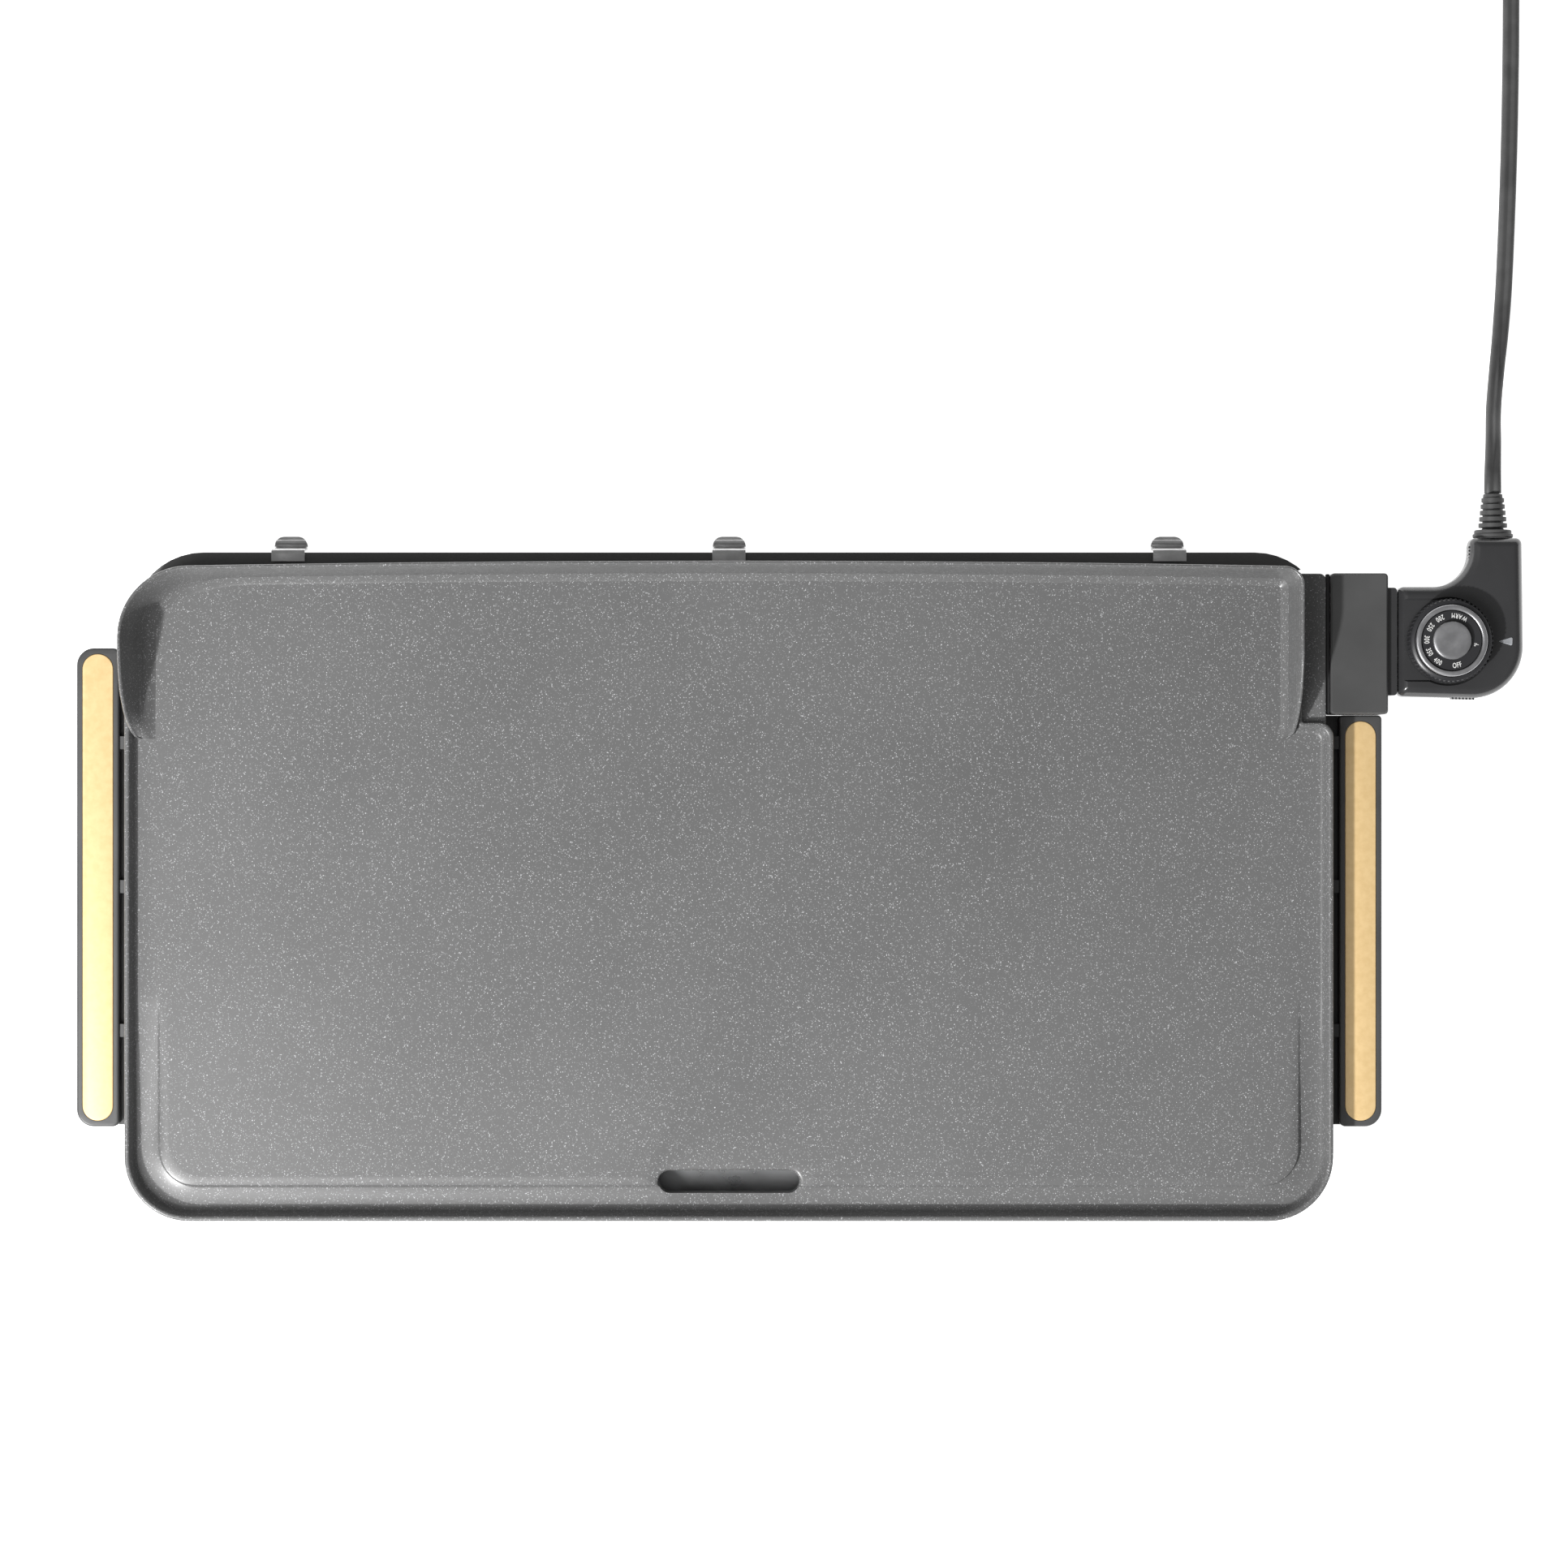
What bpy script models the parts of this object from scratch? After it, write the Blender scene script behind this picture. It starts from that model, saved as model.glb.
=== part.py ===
"""Electric griddle with a lift-off cast plate, a plastic base, sprung plate clips, a drip tray and a
plug-in dial thermostat on a mains cord. Sizes are in millimetres, +X right, +Y rear, +Z up, measured
from the middle of the plate, and each mesh is made in metres."""

import math

import bmesh
import bpy
from mathutils import Matrix, Vector

MM = 0.001
GAP = 0.4  # between pieces that touch or fit
SLIDE_GAP = 1.2  # round pieces that travel

# Heights, from the table up
PAD_HEIGHT = 3.0
LEG_HEIGHT = 19.0
BASE_HEIGHT = 29.5
PLATE_SEAT = 1.0  # between the base's wall and the plate's apron
APRON = 3.0
PLATE_FLOOR = 4.5
RIM_RISE = 6.0
SPLASH_RISE = 28.0
RAIL_RISE = 10.5

# Cooking plate
PLATE_WIDTH = 559.0
PLATE_DEPTH = 301.5
SPLASH_BOW = 2.8
FRONT_RADIUS = 30.0
REAR_LEFT_RADIUS = 32.0
REAR_RIGHT_RADIUS = 9.0
LIP = 2.2
GUTTER_WIDTH = 10.0
GUTTER_DEPTH = 2.0
GUTTER_REACH = 102.7  # how far back the gutter runs up the sides
GUTTER_FADE = 60.0
WING_REACH = 77.5  # from the rear of the plate to the front of the wings
WING_LENGTH = 43.1
SHELF_WIDTH = 14.5  # the low shelf outside the right wing
SHELF_BEFORE_HOUSING = 3.8
SHELF_THICKNESS = 3.5
SLOT_LENGTH = 65.4
SLOT_WIDTH = 10.5
SLOT_FROM_FRONT = 17.7
SLOT_COLLAR = 8.0

# Base
BASE_WALL = 2.5
BASE_INSET = 3.0
REAR_RAIL = 5.1  # how far the base stands out behind the plate
BASE_FRONT_RADIUS = 28.0
BASE_REAR_RADIUS = 33.0
LEG_INSET = 64.5  # from the base's side
LEG_FROM_FRONT = 37.7
LEG_FROM_REAR = 40.7
LEG_RADIUS = 14.0
LEG_FOOT_RADIUS = 11.5
VENT_LENGTH = 58.0
VENT_WIDTH = 6.0
VENT_PITCH = 14.0
VENTS_PER_SIDE = 6

# Handles and their inlays
HANDLE_OUT = 4.5
HANDLE_WIDTH = 19.8
HANDLE_THICKNESS = 13.5
HANDLE_BELOW_RIM = 14.0
HANDLE_RADIUS = 9.0
HANDLE_WEB_DROP = 6.0  # from the handle's top down to the web that joins it to the base
RIB_MIDDLE_Y = 1.7
RIB_SPACING = 66.8
RIB_WIDTH = 5.0
INSERT_MARGIN = 2.6
INSERT_DEPTH = 2.4

# Drip tray
TRAY_WIDTH = 140.0
TRAY_DEPTH = 74.0
TRAY_HEIGHT = 17.0
TRAY_WALL = 1.6
TRAY_RAIL_WIDTH = 8.0
TRAY_RAIL_HEIGHT = 1.7

# Rear clips
CLIP_SPACING_SHARE = 0.73  # of half the plate's width
CLIP_WIDTH = 15.4
CLIP_SHEET = 1.0
CLIP_DROP = 12.0
CLIP_REACH = 8.2

# Heating element, terminals and socket
ELEMENT_RADIUS = 3.5
PIN_SPACING = 24.0
PIN_RADIUS = 2.5
CONTROL_FROM_REAR = 33.3
ROD_RADIUS = 3.0
HOUSING_BEFORE_CONTROL = 33.7
HOUSING_LENGTH = 65.2
HOUSING_WIDTH = 26.5
HOUSING_HEIGHT = 28.0
HOUSING_WALL = 2.2
HOUSING_BELOW_RIM = 2.0

# Thermostat controller
CASE_WIDTH = 58.7
CASE_LENGTH = 50.9
NECK_WIDTH = 24.1
NECK_LENGTH = 22.7
CASE_HEIGHT = 26.0
CASE_WALL = 2.4
NOSE_LENGTH = 24.0
KNOB_FROM_CASE = 22.9
KNOB_RADIUS = 19.4
KNOB_HEIGHT = 9.0
KNOB_RIDGES = 40
DIAL_RING_RADIUS = 16.4
DIAL_FACE_RADIUS = 13.7
DIAL_CAP_RADIUS = 8.8
RELIEF_LENGTH = 20.4
RELIEF_RINGS = 5
CORD_WIDTH = 8.0

# Coil of spare cord with the plug beside it, behind the object
COIL_BEHIND_NECK = 326.35
CORD_DRIFT = 17.8  # how far the cord wanders sideways on its way to the coil
COIL_INNER = 33.5
COIL_OUTER = 51.0
COIL_TURN = (COIL_INNER + COIL_OUTER) / 2
COIL_HEIGHT = 16.0
SLEEVE_LENGTH = 9.0
SLEEVE_RADIUS = 5.2
PLUG_WIDTH = 24.0
PLUG_LENGTH = 32.0
PLUG_HEIGHT = 16.0
BLADE_SPACING = 12.7
BLADE_LENGTH = 16.0
BLADE_WIDTH = 6.35
BLADE_THICKNESS = 1.5

# Places worked out from the sizes
HALF_WIDTH = PLATE_WIDTH / 2
PLATE_FRONT = -152.7
PLATE_REAR = PLATE_FRONT + PLATE_DEPTH
BASE_FLOOR_Z = PAD_HEIGHT + LEG_HEIGHT
BASE_TOP_Z = BASE_FLOOR_Z + BASE_HEIGHT
RAIL_Z = BASE_TOP_Z + RAIL_RISE
APRON_Z = BASE_TOP_Z + PLATE_SEAT
UNDER_Z = APRON_Z + APRON
COOK_Z = UNDER_Z + PLATE_FLOOR
RIM_Z = COOK_Z + RIM_RISE
CONTROL_Y = PLATE_REAR - CONTROL_FROM_REAR
HOUSING_START = CONTROL_Y - HOUSING_BEFORE_CONTROL
SHELF_START = HOUSING_START - SHELF_BEFORE_HOUSING
WING_START = PLATE_REAR - WING_REACH
GUTTER_END = PLATE_FRONT + GUTTER_REACH
WING_X = HALF_WIDTH - SHELF_WIDTH
SHELF_X = HALF_WIDTH - BASE_INSET
SHELF_Z = COOK_Z + 2.0
BASE_X = HALF_WIDTH - BASE_INSET
BASE_FRONT = PLATE_FRONT + BASE_INSET
BASE_REAR = PLATE_REAR + SPLASH_BOW + REAR_RAIL
HANDLE_X = HALF_WIDTH + HANDLE_OUT
HANDLE_Z = RIM_Z - HANDLE_BELOW_RIM
HANDLE_FRONT = PLATE_FRONT + 42.7
LEFT_HANDLE_REAR = PLATE_REAR - 36.0
RIGHT_HANDLE_REAR = HOUSING_START - 0.3
LEG_X = BASE_X - LEG_INSET
LEG_FRONT_Y = BASE_FRONT + LEG_FROM_FRONT
LEG_REAR_Y = BASE_REAR - LEG_FROM_REAR
CLIP_SPACING = CLIP_SPACING_SHARE * HALF_WIDTH
AXIS_Z = UNDER_Z - GAP - ELEMENT_RADIUS
TERMINAL_X = WING_X - 7.0
HOUSING_X = HALF_WIDTH - 1.0
HOUSING_FACE = HOUSING_X + HOUSING_WIDTH
HOUSING_TOP = RIM_Z - HOUSING_BELOW_RIM
CASE_X = HOUSING_FACE + 4.9
CASE_FRONT = CONTROL_Y - CASE_LENGTH / 2
CASE_REAR = CONTROL_Y + CASE_LENGTH / 2
CASE_Z = AXIS_Z - CASE_HEIGHT / 2 - 0.6
CASE_TOP = CASE_Z + CASE_HEIGHT
CASE_RIGHT = CASE_X + CASE_WIDTH
NECK_REAR = CASE_REAR + NECK_LENGTH
NECK_X = CASE_RIGHT - 1.1 - NECK_WIDTH / 2
KNOB_X = CASE_X + KNOB_FROM_CASE
KNOB_Z = CASE_TOP + GAP
RELIEF_Y = NECK_REAR + GAP
CORD_START = RELIEF_Y + RELIEF_LENGTH + GAP
COIL_X = NECK_X + CORD_DRIFT - COIL_TURN
COIL_Y = NECK_REAR + COIL_BEHIND_NECK

GREY_COAT = ((0.075, 0.078, 0.082), 0.42, 0.0)
GREY_PLASTIC = ((0.06, 0.062, 0.066), 0.5, 0.0)
BLACK_PLASTIC = ((0.02, 0.02, 0.021), 0.32, 0.0)
RUBBER = ((0.03, 0.03, 0.03), 0.8, 0.0)
GOLD = ((0.82, 0.68, 0.45), 0.35, 0.9)
STEEL = ((0.5, 0.5, 0.5), 0.3, 1.0)
CHROME = ((0.72, 0.72, 0.72), 0.18, 1.0)
CERAMIC = ((0.8, 0.78, 0.72), 0.5, 0.0)
AMBER = ((0.45, 0.43, 0.42), 0.2, 0.0)


def material_for(name, finish):
    colour, roughness, metallic = finish
    material = bpy.data.materials.new(f"{name}_finish")
    material.use_nodes = True
    shader = material.node_tree.nodes["Principled BSDF"]
    shader.inputs["Base Color"].default_value = (*colour, 1.0)
    shader.inputs["Roughness"].default_value = roughness
    shader.inputs["Metallic"].default_value = metallic
    return material


def place(name, mesh, finish, pivot):
    """An object of the mesh under the model's origin, with its own origin at the pivot."""
    piece = bpy.data.objects.new(name, mesh)
    bpy.context.scene.collection.objects.link(piece)
    piece.parent = ORIGIN
    piece.location = Vector(pivot) * MM
    if finish and not mesh.materials:
        mesh.materials.append(material_for(name, finish))
    return piece


def make(name, build, finish=None, pivot=(0, 0, 0), smooth_angle=None):
    """A piece from a bmesh in millimetres; without a finish it is a tool for a Boolean."""
    bmesh.ops.recalc_face_normals(build, faces=build.faces)
    bmesh.ops.translate(build, verts=build.verts, vec=-Vector(pivot))
    bmesh.ops.scale(build, verts=build.verts, vec=(MM, MM, MM))
    mesh = bpy.data.meshes.new(name)
    build.to_mesh(mesh)
    build.free()
    if smooth_angle:
        mesh.shade_smooth()
        mesh.set_sharp_from_angle(angle=math.radians(smooth_angle))
    return place(name, mesh, finish, pivot)


def combine(piece, tool, operation="DIFFERENCE"):
    """Cuts the tool out of the piece, or joins it on with UNION."""
    tool.hide_render = True
    tool.display_type = "WIRE"
    step = piece.modifiers.new(tool.name, "BOOLEAN")
    step.operation = operation
    step.solver = "EXACT"
    step.object = tool
    return piece


def arc_corner(last, here, following, segments):
    """The points of a rounded corner; here is (x, y, radius)."""
    corner = Vector(here[:2])
    to_last = (Vector(last[:2]) - corner).normalized()
    to_next = (Vector(following[:2]) - corner).normalized()
    half = to_last.angle(to_next) / 2
    centre = corner + (to_last + to_next).normalized() * (here[2] / math.sin(half))
    start = corner + to_last * (here[2] / math.tan(half)) - centre
    turn = math.pi - 2 * half
    if to_last.cross(to_next) > 0:
        turn = -turn
    return [centre + Matrix.Rotation(turn * step / segments, 2) @ start for step in range(segments + 1)]


def rounded(corners, segments=6, splits=None):
    """A closed outline, anticlockwise, with each side cut into as many parts as splits says."""
    count = len(corners)
    arcs = [
        arc_corner(corners[index - 1], corner, corners[(index + 1) % count], segments)
        for index, corner in enumerate(corners)
    ]
    outline = []
    for index, arc in enumerate(arcs):
        outline += arc
        following = arcs[(index + 1) % count][0]
        parts = splits[index] if splits else 1
        outline += [arc[-1].lerp(following, step / parts) for step in range(1, parts)]
    return outline


def rectangle(left, right, front, rear, radius=0.0, segments=4):
    corners = [(left, front), (right, front), (right, rear), (left, rear)]
    if not radius:
        return [Vector(corner) for corner in corners]
    return rounded([(*corner, radius) for corner in corners], segments)


def shrunk(outline, distance):
    """The outline moved inwards, each point along the middle of its two sides."""
    moved = []
    for index, point in enumerate(outline):
        before = (point - outline[index - 1]).normalized()
        after = (outline[(index + 1) % len(outline)] - point).normalized()
        middle = (before + after).normalized()
        moved.append(point + Vector((-middle.y, middle.x)) * distance / max(middle.dot(after), 0.5))
    return moved


def circle(radius, sides, x=0.0, y=0.0):
    steps = [2 * math.pi * step / sides for step in range(sides)]
    return [Vector((x + radius * math.cos(angle), y + radius * math.sin(angle))) for angle in steps]


def lift(outline, z):
    return [Vector((point.x, point.y, z)) for point in outline]


def loft(rings, build=None):
    """A closed body through rings of equally many points, capped at both ends."""
    build = build or bmesh.new()
    rows = [[build.verts.new(point) for point in ring] for ring in rings]
    for lower, upper in zip(rows, rows[1:]):
        for index in range(len(lower)):
            build.faces.new((lower[index - 1], lower[index], upper[index], upper[index - 1]))
    build.faces.new(rows[0])
    build.faces.new(rows[-1])
    return build


def prism(outline, bottom, top, build=None):
    return loft([lift(outline, bottom), lift(outline, top)], build)


def block(left, right, front, rear, bottom, top, build=None):
    return prism(rectangle(left, right, front, rear), bottom, top, build)


def turned(profile, sides):
    """A body turned about Z from a closed profile of (radius, z)."""
    build = bmesh.new()
    verts = [build.verts.new((radius, 0, z)) for radius, z in profile]
    edges = [build.edges.new((verts[index - 1], verts[index])) for index in range(len(verts))]
    bmesh.ops.spin(build, geom=edges, cent=(0, 0, 0), axis=(0, 0, 1), angle=2 * math.pi, steps=sides)
    bmesh.ops.remove_doubles(build, verts=build.verts, dist=0.001)
    bmesh.ops.dissolve_degenerate(build, edges=build.edges, dist=0.001)
    return build


def swung(build, axis, angle, shift):
    """The body turned about an axis through the origin, then moved."""
    bmesh.ops.rotate(build, verts=build.verts, cent=(0, 0, 0), matrix=Matrix.Rotation(angle, 3, axis))
    bmesh.ops.translate(build, verts=build.verts, vec=shift)
    return build


def rod_along_x(start, end, y, z, radius, sides=16):
    return swung(prism(circle(radius, sides), start, end), "Y", math.pi / 2, (0, y, z))


def copies(first, names, shifts):
    """More pieces with the first one's mesh, each moved by its shift."""
    for name, shift in zip(names, shifts):
        piece = place(name, first.data, None, (0, 0, 0))
        piece.location = first.location + Vector(shift) * MM


def tube(name, points, radius, finish, resolution):
    curve = bpy.data.curves.new(name, "CURVE")
    curve.dimensions = "3D"
    curve.bevel_depth = radius * MM
    curve.bevel_resolution = resolution
    curve.use_fill_caps = True
    spline = curve.splines.new("POLY")
    spline.points.add(len(points) - 1)
    for spot, point in zip(spline.points, points):
        spot.co = (*(Vector(point) * MM), 1.0)
    return place(name, curve, finish, (0, 0, 0))


def smooth_route(points, spacing):
    """Evenly spread points on a Catmull-Rom curve through the given ones."""
    route = [Vector(point) for point in points]
    ends = [2 * route[0] - route[1], *route, 2 * route[-1] - route[-2]]
    dense = []
    for before, start, end, after in zip(ends, ends[1:], ends[2:], ends[3:]):
        parts = max(1, round((end - start).length / spacing))
        for step in range(parts):
            t = step / parts
            slope = (end - before) * t + (2 * before - 5 * start + 4 * end - after) * t**2
            cubic = (3 * start - before - 3 * end + after) * t**3
            dense.append(start + (slope + cubic) / 2)
    return [*dense, route[-1]]


# Cooking plate


def wall_rise(point):
    """How far the plate's edge stands above the rim: the wings swell up to the splash wall."""
    if point.x > WING_X + 1:
        return 0.0
    share = min(max((point.y - WING_START) / WING_LENGTH, 0.0), 1.0)
    return (SPLASH_RISE - RIM_RISE) * math.sin(share * math.pi / 2)


def bowed(point):
    """The rear of the plate bows out behind its middle."""
    share = min(max((point.y - CONTROL_Y) / (PLATE_REAR - CONTROL_Y), 0.0), 1.0)
    return Vector((point.x, point.y + SPLASH_BOW * share * (1 - (point.x / HALF_WIDTH) ** 2)))


def plate_outline(side, rear=None):
    """The plate's edge moved in by side, and by rear behind."""
    rear = side if rear is None else rear
    corners = [
        (-HALF_WIDTH + side, PLATE_FRONT + side, max(FRONT_RADIUS - side, 2)),
        (HALF_WIDTH - side, PLATE_FRONT + side, max(FRONT_RADIUS - side, 2)),
        (HALF_WIDTH - side, SHELF_START - side, 2),
        (WING_X - side, SHELF_START - side, 2 + max(side, 0)),
        (WING_X - side, PLATE_REAR - rear, max(REAR_RIGHT_RADIUS - rear, 2)),
        (-HALF_WIDTH + side, PLATE_REAR - rear, max(REAR_LEFT_RADIUS - rear, 2)),
    ]
    return [bowed(point) for point in rounded(corners, 7, (6, 16, 2, 10, 12, 24))]


def gutter_z(point):
    """The gutter is full depth along the front and fades out up the sides."""
    share = min(max((GUTTER_END - point.y) / GUTTER_FADE, 0.0), 1.0)
    return COOK_Z - GUTTER_DEPTH * share


def edge_ring(side, rear, below_edge):
    outline = plate_outline(side, rear)
    return [Vector((point.x, point.y, RIM_Z + wall_rise(point) - below_edge)) for point in outline]


def plate_rings():
    gutter_outer = LIP + 2.8
    gutter_inner = gutter_outer + GUTTER_WIDTH
    foot = plate_outline(gutter_outer, gutter_outer + 5)
    step = plate_outline(gutter_inner, gutter_inner)
    return [
        lift(plate_outline(9, 9), UNDER_Z),
        lift(plate_outline(5, 5), UNDER_Z),
        lift(plate_outline(4, 4), APRON_Z),
        lift(plate_outline(1.2, 1.2), APRON_Z),
        lift(plate_outline(0.2, 0.2), APRON_Z + 1.5),
        edge_ring(0, 0, 1.0),
        edge_ring(0.6, 0.6, 0.0),
        edge_ring(LIP, LIP, 0.0),
        [Vector((point.x, point.y, gutter_z(point))) for point in foot],
        [Vector((point.x, point.y, gutter_z(point))) for point in step],
        lift(plate_outline(gutter_inner + 1.5, gutter_inner + 1.5), COOK_Z),
    ]


def slot_outline(extra):
    y = PLATE_FRONT + SLOT_FROM_FRONT
    half = SLOT_LENGTH / 2 + extra
    radius = SLOT_WIDTH / 2 + extra
    return rectangle(-half, half, y - radius, y + radius, radius - 0.1, 6)


def screw_spots():
    """The Y of the two screws that hold the socket housing on the plate."""
    return HOUSING_START + 7, HOUSING_START + HOUSING_LENGTH - 7


def griddle_plate():
    plate = make("griddle_plate", loft(plate_rings()), GREY_COAT, smooth_angle=35)
    collar_bottom = UNDER_Z - SLOT_COLLAR
    combine(plate, make("slot_collar", prism(slot_outline(2.5), collar_bottom, UNDER_Z + 1)), "UNION")
    combine(plate, make("slot_cut", prism(slot_outline(0), collar_bottom - 5, RIM_Z)))
    shelf_rear = HOUSING_START + HOUSING_LENGTH
    shelf = rectangle(WING_X - 4, SHELF_X, SHELF_START - 2, shelf_rear, 3)
    shelf_slab = make("shelf_slab", prism(shelf, SHELF_Z - SHELF_THICKNESS, SHELF_Z))
    for index, y in enumerate(screw_spots()):
        lug = block(WING_X + 1, SHELF_X - 0.5, y - 4, y + 4, APRON_Z, SHELF_Z - 1)
        combine(shelf_slab, make(f"shelf_lug_{index}", lug), "UNION")
    combine(plate, shelf_slab, "UNION")
    boss = rod_along_x(WING_X - 60, WING_X - 9, CONTROL_Y, AXIS_Z, ROD_RADIUS + 3.5, 20)
    combine(plate, make("probe_well", boss), "UNION")
    window = PIN_SPACING / 2 + 7.5
    opening = block(WING_X - 8, SHELF_X - 8, CONTROL_Y - window, CONTROL_Y + window, CASE_Z, AXIS_Z + 5.5)
    combine(plate, make("terminal_window", opening))
    bore = rod_along_x(WING_X - 56, WING_X + 40, CONTROL_Y, AXIS_Z, ROD_RADIUS + GAP, 16)
    combine(plate, make("probe_bore", bore))
    for index, y in enumerate(screw_spots()):
        hole = rod_along_x(WING_X + 3, SHELF_X + 5, y, SHELF_Z - 6, 2.2, 12)
        combine(plate, make(f"lug_hole_{index}", hole))


# Base, legs and heat shield


def base_outline(inset):
    corners = [
        (-BASE_X + inset, BASE_FRONT + inset, BASE_FRONT_RADIUS - inset),
        (BASE_X - inset, BASE_FRONT + inset, BASE_FRONT_RADIUS - inset),
        (BASE_X - inset, BASE_REAR - inset, BASE_REAR_RADIUS - inset),
        (-BASE_X + inset, BASE_REAR - inset, BASE_REAR_RADIUS - inset),
    ]
    return rounded(corners, 10)


def rear_rail():
    """The high rail behind the plate: the base's outline less the plate's, with a gap."""
    rail = make("rear_rail", prism(base_outline(0), BASE_TOP_Z - 1.5, RAIL_Z))
    combine(rail, make("rail_clearance", prism(plate_outline(-PLATE_SEAT), BASE_FLOOR_Z, RAIL_Z + 9)))
    front = block(-HALF_WIDTH - 9, HALF_WIDTH + 9, PLATE_FRONT - 9, CONTROL_Y + 5, BASE_FLOOR_Z, RAIL_Z + 9)
    combine(rail, make("rail_front_cut", front))
    right = block(WING_X - 5, HALF_WIDTH + 9, CONTROL_Y, PLATE_REAR, BASE_FLOOR_Z, RAIL_Z + 9)
    return combine(rail, make("rail_right_cut", right))


def vent_slots():
    build = bmesh.new()
    for side in (-1, 1):
        for index in range(VENTS_PER_SIDE):
            x = side * (110 + VENT_PITCH * index)
            outline = rectangle(x - VENT_WIDTH / 2, x + VENT_WIDTH / 2, 0, VENT_LENGTH)
            prism(outline, BASE_FLOOR_Z - 5, BASE_FLOOR_Z + 5, build)
    return build


def base_frame():
    base = make("base_frame", prism(base_outline(0), BASE_FLOOR_Z, BASE_TOP_Z), GREY_PLASTIC)
    inside = prism(base_outline(BASE_WALL), BASE_FLOOR_Z + BASE_WALL, RAIL_Z + 9)
    combine(base, make("base_inside", inside))
    combine(base, rear_rail(), "UNION")
    combine(base, make("vent_slots", vent_slots()))
    half = TRAY_WIDTH / 2 + SLIDE_GAP
    bottom = TRAY_Z - SLIDE_GAP + GAP
    window = block(-half, half, BASE_FRONT - 9, BASE_FRONT + 9, bottom, TRAY_Z + TRAY_HEIGHT + SLIDE_GAP)
    combine(base, make("tray_window", window))
    half = PIN_SPACING / 2 + 8
    notch = block(BASE_X - 9, BASE_X + 9, CONTROL_Y - half, CONTROL_Y + half, AXIS_Z - 8, RAIL_Z)
    combine(base, make("terminal_notch", notch))


def legs():
    spots = [(side * LEG_X, y) for y in (LEG_FRONT_Y, LEG_REAR_Y) for side in (-1, 1)]
    names = ["front_left", "front_right", "rear_left", "rear_right"]
    x, y = spots[0]
    shifts = [(spot[0] - x, spot[1] - y, 0) for spot in spots[1:]]
    post = loft(
        [
            lift(circle(LEG_FOOT_RADIUS, 24, x, y), PAD_HEIGHT + GAP),
            lift(circle(LEG_RADIUS, 24, x, y), BASE_FLOOR_Z - GAP),
        ]
    )
    leg = make(f"leg_{names[0]}", post, GREY_PLASTIC, smooth_angle=35)
    copies(leg, [f"leg_{name}" for name in names[1:]], shifts)
    pad = make(f"foot_pad_{names[0]}", prism(circle(LEG_FOOT_RADIUS, 24, x, y), 0, PAD_HEIGHT), RUBBER)
    copies(pad, [f"foot_pad_{name}" for name in names[1:]], shifts)


def heat_shield():
    """A bright sheet with down-turned sides that stand just above the base's floor."""
    half = BASE_X - 14
    bottom = BASE_FLOOR_Z + BASE_WALL + GAP
    top = bottom + 4
    front = BASE_FRONT + TRAY_DEPTH + 10
    rear = BASE_REAR - BASE_WALL - 8
    shield = make("heat_shield", block(-half, half, front, rear, bottom, top), STEEL)
    under = block(-half + 1, half - 1, front - 5, rear + 5, bottom - 5, top - 1)
    combine(shield, make("shield_under", under))


# Handles


def handle(side, name, rear, rear_radius):
    """A side handle with a web and three short arms to the base, and a pocket for its inlay."""
    inner, outer = HANDLE_X, HANDLE_X + HANDLE_WIDTH
    corners = [(inner, HANDLE_FRONT, 2), (outer, HANDLE_FRONT, HANDLE_RADIUS)]
    corners += [(outer, rear, rear_radius), (inner, rear, min(rear_radius, 2))]
    outline = rounded(corners, 6)
    bottom = HANDLE_Z - HANDLE_THICKNESS
    levels = [(1.9, bottom), (0, bottom + 3), (0, HANDLE_Z - 1), (1, HANDLE_Z)]
    body = loft([lift(shrunk(outline, inset), z) for inset, z in levels])
    left, right = inner + INSERT_MARGIN, outer - INSERT_MARGIN
    radius = (right - left) / 2 - 0.1
    pocket = rectangle(left, right, HANDLE_FRONT + INSERT_MARGIN, rear - INSERT_MARGIN, radius, 6)
    inlay = prism(shrunk(pocket, GAP), HANDLE_Z - INSERT_DEPTH + GAP, HANDLE_Z + 0.2)
    recess = prism(pocket, HANDLE_Z - INSERT_DEPTH, HANDLE_Z + 5)
    arms = bmesh.new()
    for index in (-1, 0, 1):
        y = RIB_MIDDLE_Y + index * RIB_SPACING
        arm_rear = min(y + RIB_WIDTH / 2, rear - 4)
        block(BASE_X + GAP, inner + 2, arm_rear - RIB_WIDTH, arm_rear, bottom + 0.5, BASE_TOP_Z - 1, arms)
    web_top = HANDLE_Z - HANDLE_WEB_DROP
    web = block(BASE_X + GAP, inner + 2, HANDLE_FRONT + 1, rear - 1, bottom + 1, web_top)
    for build in (body, inlay, recess, arms, web):
        bmesh.ops.scale(build, verts=build.verts, vec=(side, 1, 1))
    piece = make(name, body, GREY_PLASTIC, smooth_angle=35)
    combine(piece, make(f"{name}_web", web), "UNION")
    combine(piece, make(f"{name}_arms", arms), "UNION")
    combine(piece, make(f"{name}_pocket", recess))
    make(f"{name}_insert", inlay, GOLD)


# Drip tray

TRAY_Z = BASE_FLOOR_Z + BASE_WALL + 2 * GAP + TRAY_RAIL_HEIGHT


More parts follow.
